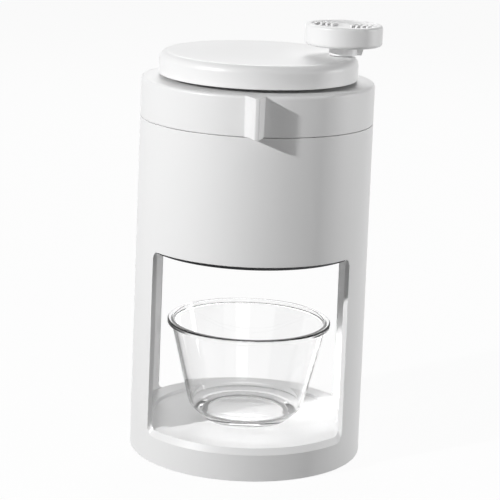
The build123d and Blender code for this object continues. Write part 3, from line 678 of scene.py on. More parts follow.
def settle(made: bpy.types.Object, crease: float = CREASE) -> bpy.types.Object:
    """Applies an object's modifiers and evens its shading.

    Args:
        made: the object.
        crease: angle in degrees over which an edge is sharp.

    Returns:
        The same object with a plain mesh.
    """
    bpy.context.view_layer.update()
    if made.modifiers:
        bake(made)
    made.data.shade_smooth()
    made.data.set_sharp_from_angle(angle=math.radians(crease))
    even = made.modifiers.new("even", "WEIGHTED_NORMAL")
    even.keep_sharp = True
    even.weight = EVEN_WEIGHT
    bake(made)
    return made


def cut(made: bpy.types.Object, cutters: Sequence[bpy.types.Object]) -> bpy.types.Object:
    """Cuts closed shapes out of an object.

    Args:
        made: the object.
        cutters: the shapes, which are used up.

    Returns:
        The cut object.
    """
    for cutter in cutters:
        tool = made.modifiers.new("cut", "BOOLEAN")
        tool.operation = "DIFFERENCE"
        tool.solver = "EXACT"
        tool.object = cutter
    settle(made)
    for cutter in cutters:
        bpy.data.objects.remove(cutter)
    return made


# ---------------------------------------------------------------- repeated pieces
class Repeater:
    """Geometry Nodes that copy a seed shape round a circle or along a line, or wind a coil."""

    def __init__(self, name: str) -> None:
        """Starts an empty tree.

        Args:
            name: the tree's name.
        """
        self.group = bpy.data.node_groups.new(name, "GeometryNodeTree")
        self.tree = Tree(self.group)
        face = self.group.interface
        face.new_socket("Geometry", in_out="INPUT", socket_type="NodeSocketGeometry")
        face.new_socket("Geometry", in_out="OUTPUT", socket_type="NodeSocketGeometry")
        self.values: dict[str, Any] = {}

    def ask(self, name: str, kind: str, value: Any) -> None:
        """Adds a named input.

        Args:
            name: the input's name.
            kind: its socket type.
            value: what this object uses.
        """
        socket = self.group.interface.new_socket(name, in_out="INPUT", socket_type=kind)
        self.values[socket.identifier] = value

    def given(self) -> bpy.types.Node:
        """The node that holds the named inputs."""
        return self.tree.node("NodeGroupInput")

    def close(self, geometry: bpy.types.NodeSocket, material: bpy.types.NodeSocket) -> None:
        """Ends the tree with realised, finished copies.

        Args:
            geometry: what the tree made.
            material: the finish it gets.
        """
        real = self.tree.node("GeometryNodeRealizeInstances", {}, {0: geometry})
        dressed = self.tree.node("GeometryNodeSetMaterial", {}, {"Geometry": real.outputs[0],
                                                                 "Material": material})
        self.tree.node("NodeGroupOutput", {}, {0: dressed.outputs[0]})

    def run(self, made: bpy.types.Object, crease: float = CREASE) -> bpy.types.Object:
        """Applies the tree to an object.

        Args:
            made: the object whose mesh is the seed.
            crease: angle in degrees over which an edge is sharp.

        Returns:
            The object with its plain final mesh.
        """
        tool = made.modifiers.new("repeat", "NODES")
        tool.node_group = self.group
        for identifier, value in self.values.items():
            tool[identifier] = value
        return settle(made, crease)


def round_copies(name: str, seed: bpy.types.Object, count: int, radius: float, first: float,
                 material: bpy.types.Material) -> bpy.types.Object:
    """Copies a seed shape round the Z axis, each copy turned with its place.

    Args:
        name: the tree's name.
        seed: shape made at the axis; it is moved out along its own X.
        count: number of copies.
        radius: how far out they stand, in millimetres.
        first: angle of the first copy in degrees.
        material: their finish.

    Returns:
        The object with all copies.
    """
    nodes = Repeater(name)
    nodes.ask("Count", "NodeSocketInt", count)
    nodes.ask("Radius", "NodeSocketFloat", radius * MM)
    nodes.ask("First angle", "NodeSocketFloat", math.radians(first))
    nodes.ask("Finish", "NodeSocketMaterial", material)
    tree, given = nodes.tree, nodes.given()
    number = tree.value("GeometryNodeInputIndex")
    turn = number * (2 * math.pi / count) + Wire(tree, given.outputs["First angle"])
    out = Wire(tree, given.outputs["Radius"])
    x = tree.value("ShaderNodeMath", {"operation": "COSINE"}, {0: turn}) * out
    y = tree.value("ShaderNodeMath", {"operation": "SINE"}, {0: turn}) * out
    place = tree.node("ShaderNodeCombineXYZ", {}, {"X": x, "Y": y})
    spots = tree.node("GeometryNodePoints", {}, {"Count": given.outputs["Count"],
                                                 "Position": place.outputs[0]})
    angles = tree.node("ShaderNodeCombineXYZ", {}, {"Z": turn})
    copies = tree.node("GeometryNodeInstanceOnPoints", {}, {
        "Points": spots.outputs[0], "Instance": given.outputs["Geometry"],
        "Rotation": angles.outputs[0]})
    nodes.close(copies.outputs[0], given.outputs["Finish"])
    return nodes.run(seed)


def line_copies(name: str, seed: bpy.types.Object, count: int, start: Vector, step: Vector,
                material: bpy.types.Material) -> bpy.types.Object:
    """Copies a seed shape along a line.

    Args:
        name: the tree's name.
        seed: shape made at the origin.
        count: number of copies.
        start: place of the first copy, in millimetres.
        step: way from one copy to the next.
        material: their finish.

    Returns:
        The object with all copies.
    """
    nodes = Repeater(name)
    nodes.ask("Count", "NodeSocketInt", count)
    nodes.ask("Start", "NodeSocketVector", tuple(start * MM))
    nodes.ask("Step", "NodeSocketVector", tuple(step * MM))
    nodes.ask("Finish", "NodeSocketMaterial", material)
    given = nodes.given()
    line = nodes.tree.node("GeometryNodeMeshLine", {"mode": "OFFSET"}, {
        "Count": given.outputs["Count"], "Start Location": given.outputs["Start"],
        "Offset": given.outputs["Step"]})
    copies = nodes.tree.node("GeometryNodeInstanceOnPoints", {}, {
        "Points": line.outputs[0], "Instance": given.outputs["Geometry"]})
    nodes.close(copies.outputs[0], given.outputs["Finish"])
    return nodes.run(seed)


def coil(name: str, turns: float, radius: float, low: float, high: float, wire: float,
         material: bpy.types.Material) -> bpy.types.Object:
    """Winds a round wire into a coil.

    Args:
        name: the object's name.
        turns: number of turns.
        radius: middle of the wire, in millimetres.
        low: height of the wire's middle at the foot.
        high: height of the wire's middle at the top.
        wire: the wire's radius.
        material: its finish.

    Returns:
        The coil.
    """
    nodes = Repeater(name + "_tree")
    nodes.ask("Turns", "NodeSocketFloat", turns)
    nodes.ask("Radius", "NodeSocketFloat", radius * MM)
    nodes.ask("Rise", "NodeSocketFloat", (high - low) * MM)
    nodes.ask("Foot", "NodeSocketVector", (0.0, 0.0, low * MM))
    nodes.ask("Wire", "NodeSocketFloat", wire * MM)
    nodes.ask("Finish", "NodeSocketMaterial", material)
    given = nodes.given()
    spiral = nodes.tree.node("GeometryNodeCurveSpiral", {}, {
        "Resolution": COIL_STEPS, "Rotations": given.outputs["Turns"],
        "Start Radius": given.outputs["Radius"], "End Radius": given.outputs["Radius"],
        "Height": given.outputs["Rise"]})
    raised = nodes.tree.node("GeometryNodeTransform", {}, {"Geometry": spiral.outputs[0],
                                                           "Translation": given.outputs["Foot"]})
    section = nodes.tree.node("GeometryNodeCurvePrimitiveCircle", {}, {
        "Resolution": WIRE_SIDES, "Radius": given.outputs["Wire"]})
    tube = nodes.tree.node("GeometryNodeCurveToMesh", {}, {
        "Curve": raised.outputs[0], "Profile Curve": section.outputs[0], "Fill Caps": True})
    nodes.close(tube.outputs[0], given.outputs["Finish"])
    seed = Solid().block(-1, 1, -1, 1, -1, 1).object(name)
    return nodes.run(seed, WIRE_CREASE)


def merged(name: str, pieces: Sequence[bpy.types.Object]) -> bpy.types.Object:
    """Joins finished pieces into one object.

    Args:
        name: name of the result.
        pieces: the objects, which are used up.

    Returns:
        The joined object.
    """
    first = pieces[0]
    with bpy.context.temp_override(active_object=first, object=first, selected_objects=list(pieces),
                                   selected_editable_objects=list(pieces)):
        bpy.ops.object.join()
    first.name = name
    first.data.name = name
    return first


# ---------------------------------------------------------------- shared sizes
@dataclass(frozen=True)
class Sizes:
    """Sizes that several sub-assemblies share, in millimetres over the table."""

    r_bottom: float = 66.36
    r_top: float = 65.0
    wall: float = 2.2
    base: float = 0.6
    sill: float = 15.7
    deck: float = 19.1
    window_top: float = 121.5
    drum_top: float = 191.8
    ledge_drop: float = 5.6
    ring_bottom: float = 192.1
    ring_top: float = 214.0
    hopper_top: float = 205.4
    hopper_r: float = 60.8
    hopper_wall: float = 2.2
    hopper_draft: float = 0.5
    disc_top: float = 228.6
    knob_x: float = 46.4
    lugs: int = 3
    lug_height: float = 2.4
    lug_gap: float = 0.4
    first_lug: float = 30.0

    def outside(self, height: float) -> float:
        """Outside radius of the tapered body at a height."""
        share = (height - self.base) / (self.ring_top - self.base)
        return self.r_bottom + (self.r_top - self.r_bottom) * share

    @property
    def ledge(self) -> float:
        """Height of the ledge that carries the hopper."""
        return self.drum_top - self.ledge_drop


SIZES = Sizes()


@dataclass
class SubAssembly:
    """What every sub-assembly shares: its palette and its dressing."""

    palette: Palette

    def dress(self, made: bpy.types.Object, body: str, finish: Finish, *nodes: str) -> bpy.types.Object:
        """Gives a piece its finish and its body, and hides what it stands for.

        Args:
            made: the piece.
            body: the CAD body it moves with.
            finish: its finish.
            nodes: the CAD nodes it replaces.

        Returns:
            The piece.
        """
        made.data.materials.clear()
        made.data.materials.append(self.palette[finish])
        for face in made.data.polygons:
            face.material_index = 0
        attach(made, body)
        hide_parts(*nodes)
        log.info("%s: %d faces on %s", made.name, len(made.data.polygons), body)
        return made

    def keep(self, finish: Finish, *nodes: str) -> None:
        """Gives CAD nodes that stay in view a finish.

        Args:
            finish: their finish.
            nodes: their names.
        """
        for name in nodes:
            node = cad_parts[name]
            node.data.materials.clear()
            node.data.materials.append(self.palette[finish])
            log.info("%s: kept as it is", name)


@dataclass(frozen=True)
class PanScrew:
    """Pan-head screw at the axis that points upwards, with a thread and a cross recess."""

    head_low: float
    tip: float
    head_r: float = 2.8
    head_height: float = 1.5
    head_round: float = 0.6
    thread_r: float = 1.5
    core_share: float = 0.8
    point_share: float = 0.7
    first_thread: float = 0.4
    last_thread: float = 1.2
    pitch: float = 0.9
    thread_half: float = 0.25
    point: float = 0.8
    cross_arm: float = 1.5
    cross_half: float = 0.3
    cross_depth: float = 0.8

    def make(self) -> bpy.types.Object:
        """Makes the screw.

        Returns:
            The screw.
        """
        core, shoulder = self.thread_r * self.core_share, self.head_low + self.head_height
        outline = [(0.0, self.head_low), (self.head_r, self.head_low), (self.head_r, shoulder),
                   (core, shoulder)]
        z = shoulder + self.first_thread
        while z < self.tip - self.last_thread:
            outline += [(core, z), (self.thread_r, z + self.thread_half), (core, z + 2 * self.thread_half)]
            z += self.pitch
        outline += [(self.thread_r * self.point_share, self.tip - self.point), (0.0, self.tip)]
        rounds = [((self.head_r, self.head_low), self.head_round)]
        made = Solid().turn(outline, rounds=rounds, steps=28).object("screw_seed")
        quarter = [(self.cross_arm, -self.cross_half), (self.cross_arm, self.cross_half),
                   (self.cross_half, self.cross_half)]
        plan = [(px * c - py * s, px * s + py * c) for c, s in ((1, 0), (0, 1), (-1, 0), (0, -1))
                for px, py in quarter]
        cross = Solid().prism(plan, self.head_low - SPARE, self.head_low + self.cross_depth)
        return cut(made, [cross.object("cross_seed")])


# ---------------------------------------------------------------- stand
@dataclass
class Window:
    """Serving window through the stand's wall, and how finely its edge is divided."""

    half_angle: float = 55.1
    top_round: float = 3.5
    sill_round: float = 4.5
    spare: float = 2.5
    round_step: int = 10
    column_step: float = 2.0
    last_gap: float = 2.2
    pillar_steps: int = 30

    def lift(self, inside: float, radius: float) -> float:
        """How far a rounded corner moves the window's edge.

        Args:
            inside: distance inside the window's upright edge.
            radius: radius of the corner.

        Returns:
            The distance by which the edge moves into the window.
        """
        if inside <= 0:
            return radius
        if inside >= radius:
            return 0.0
        return radius - math.sqrt(radius ** 2 - (radius - inside) ** 2)

    def columns(self) -> list[Point]:
        """Columns of corners round the wall, with both windows.

        Returns:
            For each column its angle in degrees and how far inside a window's edge it stands, in
            millimetres; 0 or less is a pillar.
        """
        mean = (SIZES.r_bottom + SIZES.r_top) / 2
        width = math.radians(self.half_angle) * mean
        near = {round(r * (1 - math.cos(math.radians(t))), 4)
                for r in (self.top_round, self.sill_round) for t in range(0, 91, self.round_step)}
        inside = sorted(near)
        while inside[-1] < width - self.last_gap:
            inside.append(inside[-1] + self.column_step)
        out: list[Point] = []
        for centre in (-90.0, 90.0):
            edge = centre - self.half_angle
            out += [(edge + math.degrees(d / mean), d) for d in inside]
            out.append((centre, width))
            edge = centre + self.half_angle
            out += [(edge - math.degrees(d / mean), d) for d in reversed(inside)]
            pillar = 180.0 - 2 * self.half_angle
            out += [(edge + pillar * k / self.pillar_steps, -1.0) for k in range(1, self.pillar_steps)]
        return out


@dataclass
class Stand(SubAssembly):
    """One-piece stand with drum, pillars and base, its base cover, screws and pad."""

    window: Window = field(default_factory=Window)
    recess_r: float = 54.16
    recess_depth: float = 1.6
    recess_slope: float = 0.9
    recess_low_round: float = 0.3
    recess_top_round: float = 0.25
    deck_thickness: float = 2.4
    deck_edge: float = 0.9
    deck_sink: float = 0.4
    ledge_r: float = 61.2
    ledge_lip: float = 1.0
    ledge_height: float = 3.6
    key_gap: float = 0.6
    key_half: float = 2.5
    key_sink: float = 0.5
    key_height: float = 1.9
    boss_r: float = 4.2
    boss_bore_r: float = 1.55
    boss_low: float = 4.2
    boss_drop: float = 1.2
    ribs: int = 8
    rib_start: float = 0.4
    rib_gap: float = 0.6
    rib_half: float = 0.8
    rib_drop: float = 8.2
    pad_r: float = 55.56
    pad_thickness: float = 1.5
    pad_round: float = 0.5
    screws: int = 4
    screw_circle_r: float = 45.56
    first_screw: float = 45.0
    screw_lift: float = 0.9
    screw_tip_drop: float = 4.4
    ease: float = 0.3

    @property
    def recess(self) -> float:
        """Height of the recess's floor."""
        return SIZES.deck - self.recess_depth

    def column(self, angle: float, inside: float) -> list[list[tuple[float, float, float]]]:
        """Corners of one column of the wall.

        Args:
            angle: its angle in degrees.
            inside: how far inside a window's edge it stands.

        Returns:
            The corners outside, then those inside, each from the foot upwards.
        """
        a = math.radians(angle)
        out = []
        for sill, thick in ((SIZES.sill, 0.0), (SIZES.deck, SIZES.wall)):
            heights = (SIZES.base, SIZES.sill - self.window.spare,
                       sill + self.window.lift(inside, self.window.sill_round),
                       SIZES.window_top - self.window.lift(inside, self.window.top_round),
                       SIZES.window_top + self.window.spare, SIZES.drum_top)
            radii = [SIZES.outside(z) - thick for z in heights]
            out.append([(r * math.cos(a), r * math.sin(a), z) for r, z in zip(radii, heights)])
        return out

    def wall(self, solid: Solid) -> None:
        """Adds the tapered wall with its two windows.

        Args:
            solid: the solid that gets the wall.
        """
        columns = self.window.columns()
        points: list[tuple[float, float, float]] = []
        rows: list[list[range]] = []
        plain = set()
        at_sill, at_top, at_rim = 2, 3, 5
        for angle, inside in columns:
            rows.append([])
            for side in self.column(angle, inside):
                rows[-1].append(range(len(points), len(points) + len(side)))
                points += side
            if inside > 0:
                plain.add(rows[-1][1][at_sill])
        faces = []
        for k, (_, inside) in enumerate(columns):
            n = (k + 1) % len(columns)
            open_here = inside > 0 or columns[n][1] > 0
            (out_a, in_a), (out_b, in_b) = rows[k], rows[n]
            for level in range(at_rim):
                if level == at_sill and open_here:
                    continue
                faces.append([out_a[level], out_b[level], out_b[level + 1], out_a[level + 1]])
                faces.append([in_a[level + 1], in_b[level + 1], in_b[level], in_a[level]])
            faces.append([in_a[0], in_b[0], out_b[0], out_a[0]])
            faces.append([out_a[at_rim], out_b[at_rim], in_b[at_rim], in_a[at_rim]])
            if open_here:
                faces.append([out_a[at_sill], out_b[at_sill], in_b[at_sill], in_a[at_sill]])
                faces.append([in_a[at_top], in_b[at_top], out_b[at_top], out_a[at_top]])
            if inside == 0.0:
                side_face = [out_a[at_sill], out_a[at_top], in_a[at_top], in_a[at_sill]]
                faces.append(side_face if columns[n][1] > 0 else list(reversed(side_face)))
        base = len(solid.points)
        solid.plain |= {base + i for i in plain}
        solid.shell(points, faces)

    def shell(self) -> bpy.types.Object:
        """Makes wall, deck, ledge, keys, bosses and ribs as one piece.

        Returns:
            The finished object.
        """
        solid = Solid()
        self.wall(solid)
        recess = self.recess
        lip = self.recess_r - self.recess_slope
        edge = SIZES.outside(SIZES.deck) - SIZES.wall
        under = SIZES.deck - self.deck_thickness
        solid.turn([(0, recess), (0, recess - self.deck_thickness),
                    (lip - self.deck_thickness / 2, recess - self.deck_thickness),
                    (self.recess_r, under), (edge + self.deck_sink, under),
                    (edge + self.deck_sink, SIZES.deck - self.deck_edge),
                    (edge, SIZES.deck), (self.recess_r, SIZES.deck), (lip, recess)],
                   rounds=[((lip, recess), self.recess_low_round),
                           ((self.recess_r, SIZES.deck), self.recess_top_round)])
        ledge = SIZES.ledge
        into_wall = SIZES.outside(ledge) - SIZES.wall / 2
        solid.turn([(self.ledge_r, ledge), (self.ledge_r, ledge - self.ledge_lip),
                    (into_wall, ledge - self.ledge_height), (into_wall, ledge)])
        for side in (-1, 1):
            x0, x1 = sorted((side * (SIZES.hopper_r + self.key_gap), side * into_wall))
            solid.block(x0, x1, -self.key_half, self.key_half, ledge - self.key_sink,
                        ledge + self.key_height)
        for k in range(self.screws):
            a = math.radians(self.first_screw + 360 / self.screws * k)
            low, high = self.boss_low, recess - self.boss_drop
            solid.turn([(self.boss_bore_r, low), (self.boss_r, low), (self.boss_r, high),
                        (self.boss_bore_r, high)], steps=48,
                       x=self.screw_circle_r * math.cos(a), y=self.screw_circle_r * math.sin(a))
        made = solid.object("stand_shell", bevel=self.ease)
        rib = Solid().block(self.rib_start, SIZES.r_bottom - SIZES.wall - self.rib_gap, -self.rib_half,
                            self.rib_half, recess - self.rib_drop, recess - self.boss_drop)
        ribs = round_copies("base_rib_copies", rib.object("base_ribs"), self.ribs, 0.0, 0.0,
                            self.palette[Finish.BODY])
        return merged("stand_shell", [made, ribs])

    def build(self) -> None:
        """Builds and dresses the stand."""
        self.dress(self.shell(), "stand", Finish.BODY, "stand_frame")
        pad = Solid().turn([(0, 0), (self.pad_r, 0), (self.pad_r, self.pad_thickness),
                            (0, self.pad_thickness)], rounds=[((self.pad_r, 0), self.pad_round)])
        self.dress(pad.object("anti_slip_pad"), "stand", Finish.PAD, "foot_pad")
        self.keep(Finish.BODY, "base_cover")
        seed = PanScrew(SIZES.base + self.screw_lift, self.recess - self.screw_tip_drop).make()
        screws = round_copies("base_screw_copies", seed, self.screws, self.screw_circle_r,
                              self.first_screw, self.palette[Finish.STEEL])
        screws.name = "base_cover_screws"
        self.dress(screws, "stand", Finish.STEEL, "base_screws")


# ---------------------------------------------------------------- hopper
@dataclass
class Blade:
    """Opening in the hopper's floor for the blade, its throat and its slope."""

    start: float = 8.5
    end_gap: float = 6.5
    throat_back: float = -3.2
    throat_front: float = 3.6
    width: float = 18.0
    depth: float = 3.2
    edge_y: float = 0.6
    edge_proud: float = 0.5
    pitch: float = 18.0

    def cutters(self, end: float, under: float, floor: float) -> list[Solid]:
        """Makes what is cut out of the floor.

        Args:
            end: inside radius of the cup at its floor.
            under: height of the floor's underside.
            floor: height of the floor.

        Returns:
            The throat and the sloping slot.
        """
        throat = Solid().block(self.start, end - self.end_gap, self.throat_back, self.throat_front,
                               under - SPARE, floor + SPARE)
        slot = Solid().block(self.start, end - self.end_gap, 0, self.width, -self.depth, 0)
        slope = Matrix.Rotation(math.radians(-self.pitch), 4, "X")
        tilt = Matrix.Translation((0, self.edge_y, floor + self.edge_proud)) @ slope
        slot.points = [tuple(tilt @ Vector(p)) for p in slot.points]
        return [throat, slot]


@dataclass
class Hopper(SubAssembly):
    """Lift-out cup for the ice, with its blade, holder and screws, and a dark band of painted shade under
    its rim.
    """

    blade: Blade = field(default_factory=Blade)
    low: float = 118.6
    floor_under: float = 124.2
    floor: float = 126.6
    floor_round: float = 2.0
    under_round: float = 0.5
    rim_round: float = 0.6
    flange_gap: float = 0.5
    flange: float = 2.2
    notch_gap: float = 0.3
    notch_half: float = 2.8
    notch_height: float = 3.2
    skirt_gap: float = 2.0
    lug_angle: float = 24.0
    lug_round: float = 0.4
    lug_ease: float = 0.2
    stop_angle: float = 2.5
    stop_centres: Point = (-11.85, 41.85)
    stop_drop: float = 2.8
    stop_rise: float = 0.5
    join: float = 0.01
    # The band under the cup's lower rim is painted shade: a dark rubber ring stands for the gap under the
    # window's top edge, which lies in shadow.
    shade_band_height: float = 3.2
    shade_band_gap: float = 0.05
    shade_band_proud: float = 0.02
    shade_band_in_round: float = 0.4

    def cup(self) -> bpy.types.Object:
        """Makes the cup with its flange, notches and the blade's opening.

        Returns:
            The finished object.
        """
        ledge, r = SIZES.ledge, SIZES.hopper_r
        flange_r = SIZES.outside(ledge) - SIZES.wall - self.flange_gap
        bore, low_r = r - SIZES.hopper_wall, r - SIZES.hopper_draft
        low_bore = low_r - SIZES.hopper_wall
        # The cup's outer wall steps in where the painted-shade band sits.
        shade_band_top = self.low + self.shade_band_height
        outline = [(0, self.floor_under), (low_bore, self.floor_under), (low_bore, shade_band_top),
                   (low_r, shade_band_top), (r, ledge), (flange_r, ledge), (flange_r, ledge + self.flange),
                   (r, ledge + self.flange), (r, SIZES.hopper_top), (bore, SIZES.hopper_top),
                   (bore, ledge), (low_bore, self.floor), (0, self.floor)]
        made = Solid().turn(outline, rounds=[
            ((low_bore, self.floor), self.floor_round), ((r, SIZES.hopper_top), self.rim_round),
            ((bore, SIZES.hopper_top), self.rim_round), ((low_bore, self.floor_under), self.under_round),
        ]).object("hopper_cup")
        notch = Solid()
        for side in (-1, 1):
            x0, x1 = sorted((side * (r + self.notch_gap), side * (flange_r + SPARE)))
            notch.block(x0, x1, -self.notch_half, self.notch_half, ledge - SPARE,
                        ledge + self.notch_height)
        cutters = [*self.blade.cutters(low_bore, self.floor_under, self.floor), notch]
        return cut(made, [s.object("cutter") for s in cutters])

    def lugs(self) -> bpy.types.Object:
        """Makes the bayonet lugs and their stops.

        Returns:
            The finished object.
        """
        low, first = SIZES.hopper_top - SIZES.lug_height, SIZES.first_lug
        bore = SIZES.hopper_r - SIZES.hopper_wall
        into = bore + SIZES.hopper_wall / 2
        lug_r = bore - self.skirt_gap + SIZES.lug_gap
        high = low + SIZES.lug_height - self.join
        lug = Solid().turn([(lug_r, low), (into, low), (into, high), (lug_r, high)],
                           rounds=[((lug_r, low), self.lug_round)], start=first - self.lug_angle / 2,
                           angle=self.lug_angle)
        for centre in self.stop_centres:
            foot, head = low - self.stop_drop, low + self.stop_rise
            lug.turn([(lug_r, foot), (into, foot), (into, head), (lug_r, head)],
                     start=first + centre - self.stop_angle / 2, angle=self.stop_angle)
        return round_copies("hopper_lug_copies", lug.object("hopper_lugs", bevel=self.lug_ease),
                            SIZES.lugs, 0.0, 0.0, self.palette[Finish.HOPPER])

    def build(self) -> None:
        """Builds and dresses the hopper."""
        whole = merged("hopper_cup", [self.cup(), self.lugs()])
        self.dress(whole, "hopper", Finish.HOPPER, "ice_hopper")
        low_r = SIZES.hopper_r - SIZES.hopper_draft
        low_bore = low_r - SIZES.hopper_wall
        # Painted shade: a dark rubber band round the cup's lower rim stands for the shadowed gap under the
        # window's top edge.
        top = self.low + self.shade_band_height - self.shade_band_gap
        shade_band = Solid().turn([(low_bore, self.low), (low_r, self.low), (low_r + self.shade_band_proud, top),
                             (low_bore, top)],
                            rounds=[((low_r, self.low), self.rim_round),
                                    ((low_bore, self.low), self.shade_band_in_round)])
        self.dress(shade_band.object("painted_shade_rim_band"), "hopper", Finish.PAD)
        self.keep(Finish.INNER, "blade_holder")
        self.keep(Finish.STEEL, "shaving_blade", "blade_screws")


# ---------------------------------------------------------------- cover
@dataclass
class ThumbTab:
    """Thumb tab seen from above: steep at the right, hollow at the left."""

    tip: Point = (0.2, -74.8)
    tip_width: float = 2.4
    tip_round: float = 0.9
    left: float = -4.6
    flare: float = 2.4
    flare_y: float = 0.6
    bend: Point = (0.9, -0.9)
    right: float = 4.2
    root: float = 1.1
    steps: int = 14
    ease: float = 0.45

    def plan(self) -> list[Point]:
        """Outline of the tab.

        Returns:
            Its points, with rounded corners at the tip.
        """
        tip_x, tip_y = self.tip
        face = -SIZES.r_top
        left, right = tip_x - self.tip_width / 2, tip_x + self.tip_width / 2
        a = Vector((self.left - self.flare, face + self.flare_y))
        b = Vector((left, tip_y))
        bend = Vector((self.left + self.bend[0], face + self.bend[1]))
        hollow = [a * (1 - t) ** 2 + bend * 2 * t * (1 - t) + b * t ** 2
                  for t in (k / self.steps for k in range(self.steps + 1))]
        plan = [(p.x, p.y) for p in hollow]
        plan += [(right, tip_y), (self.right, face), (self.right, face + self.root),
                 (self.left - self.flare, face + self.root)]
        return rounded(plan, [(plan[self.steps], self.tip_round), ((right, tip_y), self.tip_round)])


@dataclass
class Cover(SubAssembly):
    """Bayonet cover ring with its thumb tab and bearing."""

    tab: ThumbTab = field(default_factory=ThumbTab)
    plate: float = 2.6
    skirt_wall: float = 2.0
    skirt_r: float = 56.6
    skirt_drop: float = 6.0
    shoulder_r: float = 60.4
    shoulder_gap: float = 0.3
    shoulder_height: float = 1.8
    bush_r: float = 17.2
    boss_wall: float = 3.0
    boss_low: float = 204.0
    edge_round: float = 1.6
    inner_round: float = 1.0
    low_round: float = 0.35
    lug_angle: float = 20.0
    lug_sink: float = 1.0
    lug_round: float = 0.4
    lug_ease: float = 0.2

    def ring(self) -> bpy.types.Object:
        """Makes the ring with its plate, skirt, shoulder and boss.

        Returns:
            The finished object.
        """
        plate = SIZES.ring_top - self.plate
        skirt_low = SIZES.hopper_top - self.skirt_drop
        shoulder = SIZES.hopper_top + self.shoulder_gap
        inner = SIZES.outside(plate) - SIZES.wall
        skirt_in = self.skirt_r - self.skirt_wall
        top = (SIZES.r_top, SIZES.ring_top)
        low = (SIZES.outside(SIZES.ring_bottom), SIZES.ring_bottom)
        return Solid().turn(
            [(self.bush_r, self.boss_low), (self.bush_r + self.boss_wall, self.boss_low),
             (self.bush_r + self.boss_wall, plate), (skirt_in, plate), (skirt_in, skirt_low),
             (self.skirt_r, skirt_low), (self.skirt_r, shoulder), (self.shoulder_r, shoulder),
             (self.shoulder_r, shoulder + self.shoulder_height),
             (self.skirt_r, shoulder + self.shoulder_height), (self.skirt_r, plate),
             (inner, plate), (SIZES.outside(SIZES.ring_bottom) - SIZES.wall, SIZES.ring_bottom),
             low, top, (self.bush_r, SIZES.ring_top)],
            rounds=[(top, self.edge_round), ((inner, plate), self.inner_round),
                    (low, self.low_round)]).object("cover_ring_shell")

    def lugs(self) -> bpy.types.Object:
        """Makes the bayonet lugs on the skirt.

        Returns:
            The finished object.
        """
        low = SIZES.hopper_top - 2 * SIZES.lug_height - SIZES.lug_gap
        lug_r = SIZES.hopper_r - SIZES.hopper_wall - SIZES.lug_gap
        into, high = self.skirt_r - self.lug_sink, low + SIZES.lug_height
        lug = Solid().turn([(into, low), (lug_r, low), (lug_r, high), (into, high)],
                           rounds=[((lug_r, high), self.lug_round)],
                           start=SIZES.first_lug - self.lug_angle / 2, angle=self.lug_angle)
        return round_copies("cover_lug_copies", lug.object("cover_lugs", bevel=self.lug_ease),
                            SIZES.lugs, 0.0, 0.0, self.palette[Finish.BODY])

    def build(self) -> None:
        """Builds and dresses the cover."""
        made = self.ring()
        tab = Solid().prism(self.tab.plan(), SIZES.ring_bottom, SIZES.ring_top)
        thumb = tab.object("thumb_tab", bevel=self.tab.ease)
        whole = merged("cover_ring_shell", [made, thumb, self.lugs()])
        self.dress(whole, "cover", Finish.BODY, "cover_ring")
        self.keep(Finish.BEARING, "bearing_bush")


# ---------------------------------------------------------------- crank
@dataclass
class Spring:
    """Coil spring that pushes the presser down."""

    turns: float = 7.0
    radius: float = 14.6
    low: float = 139.95
    high: float = 200.05
    wire_r: float = 0.8


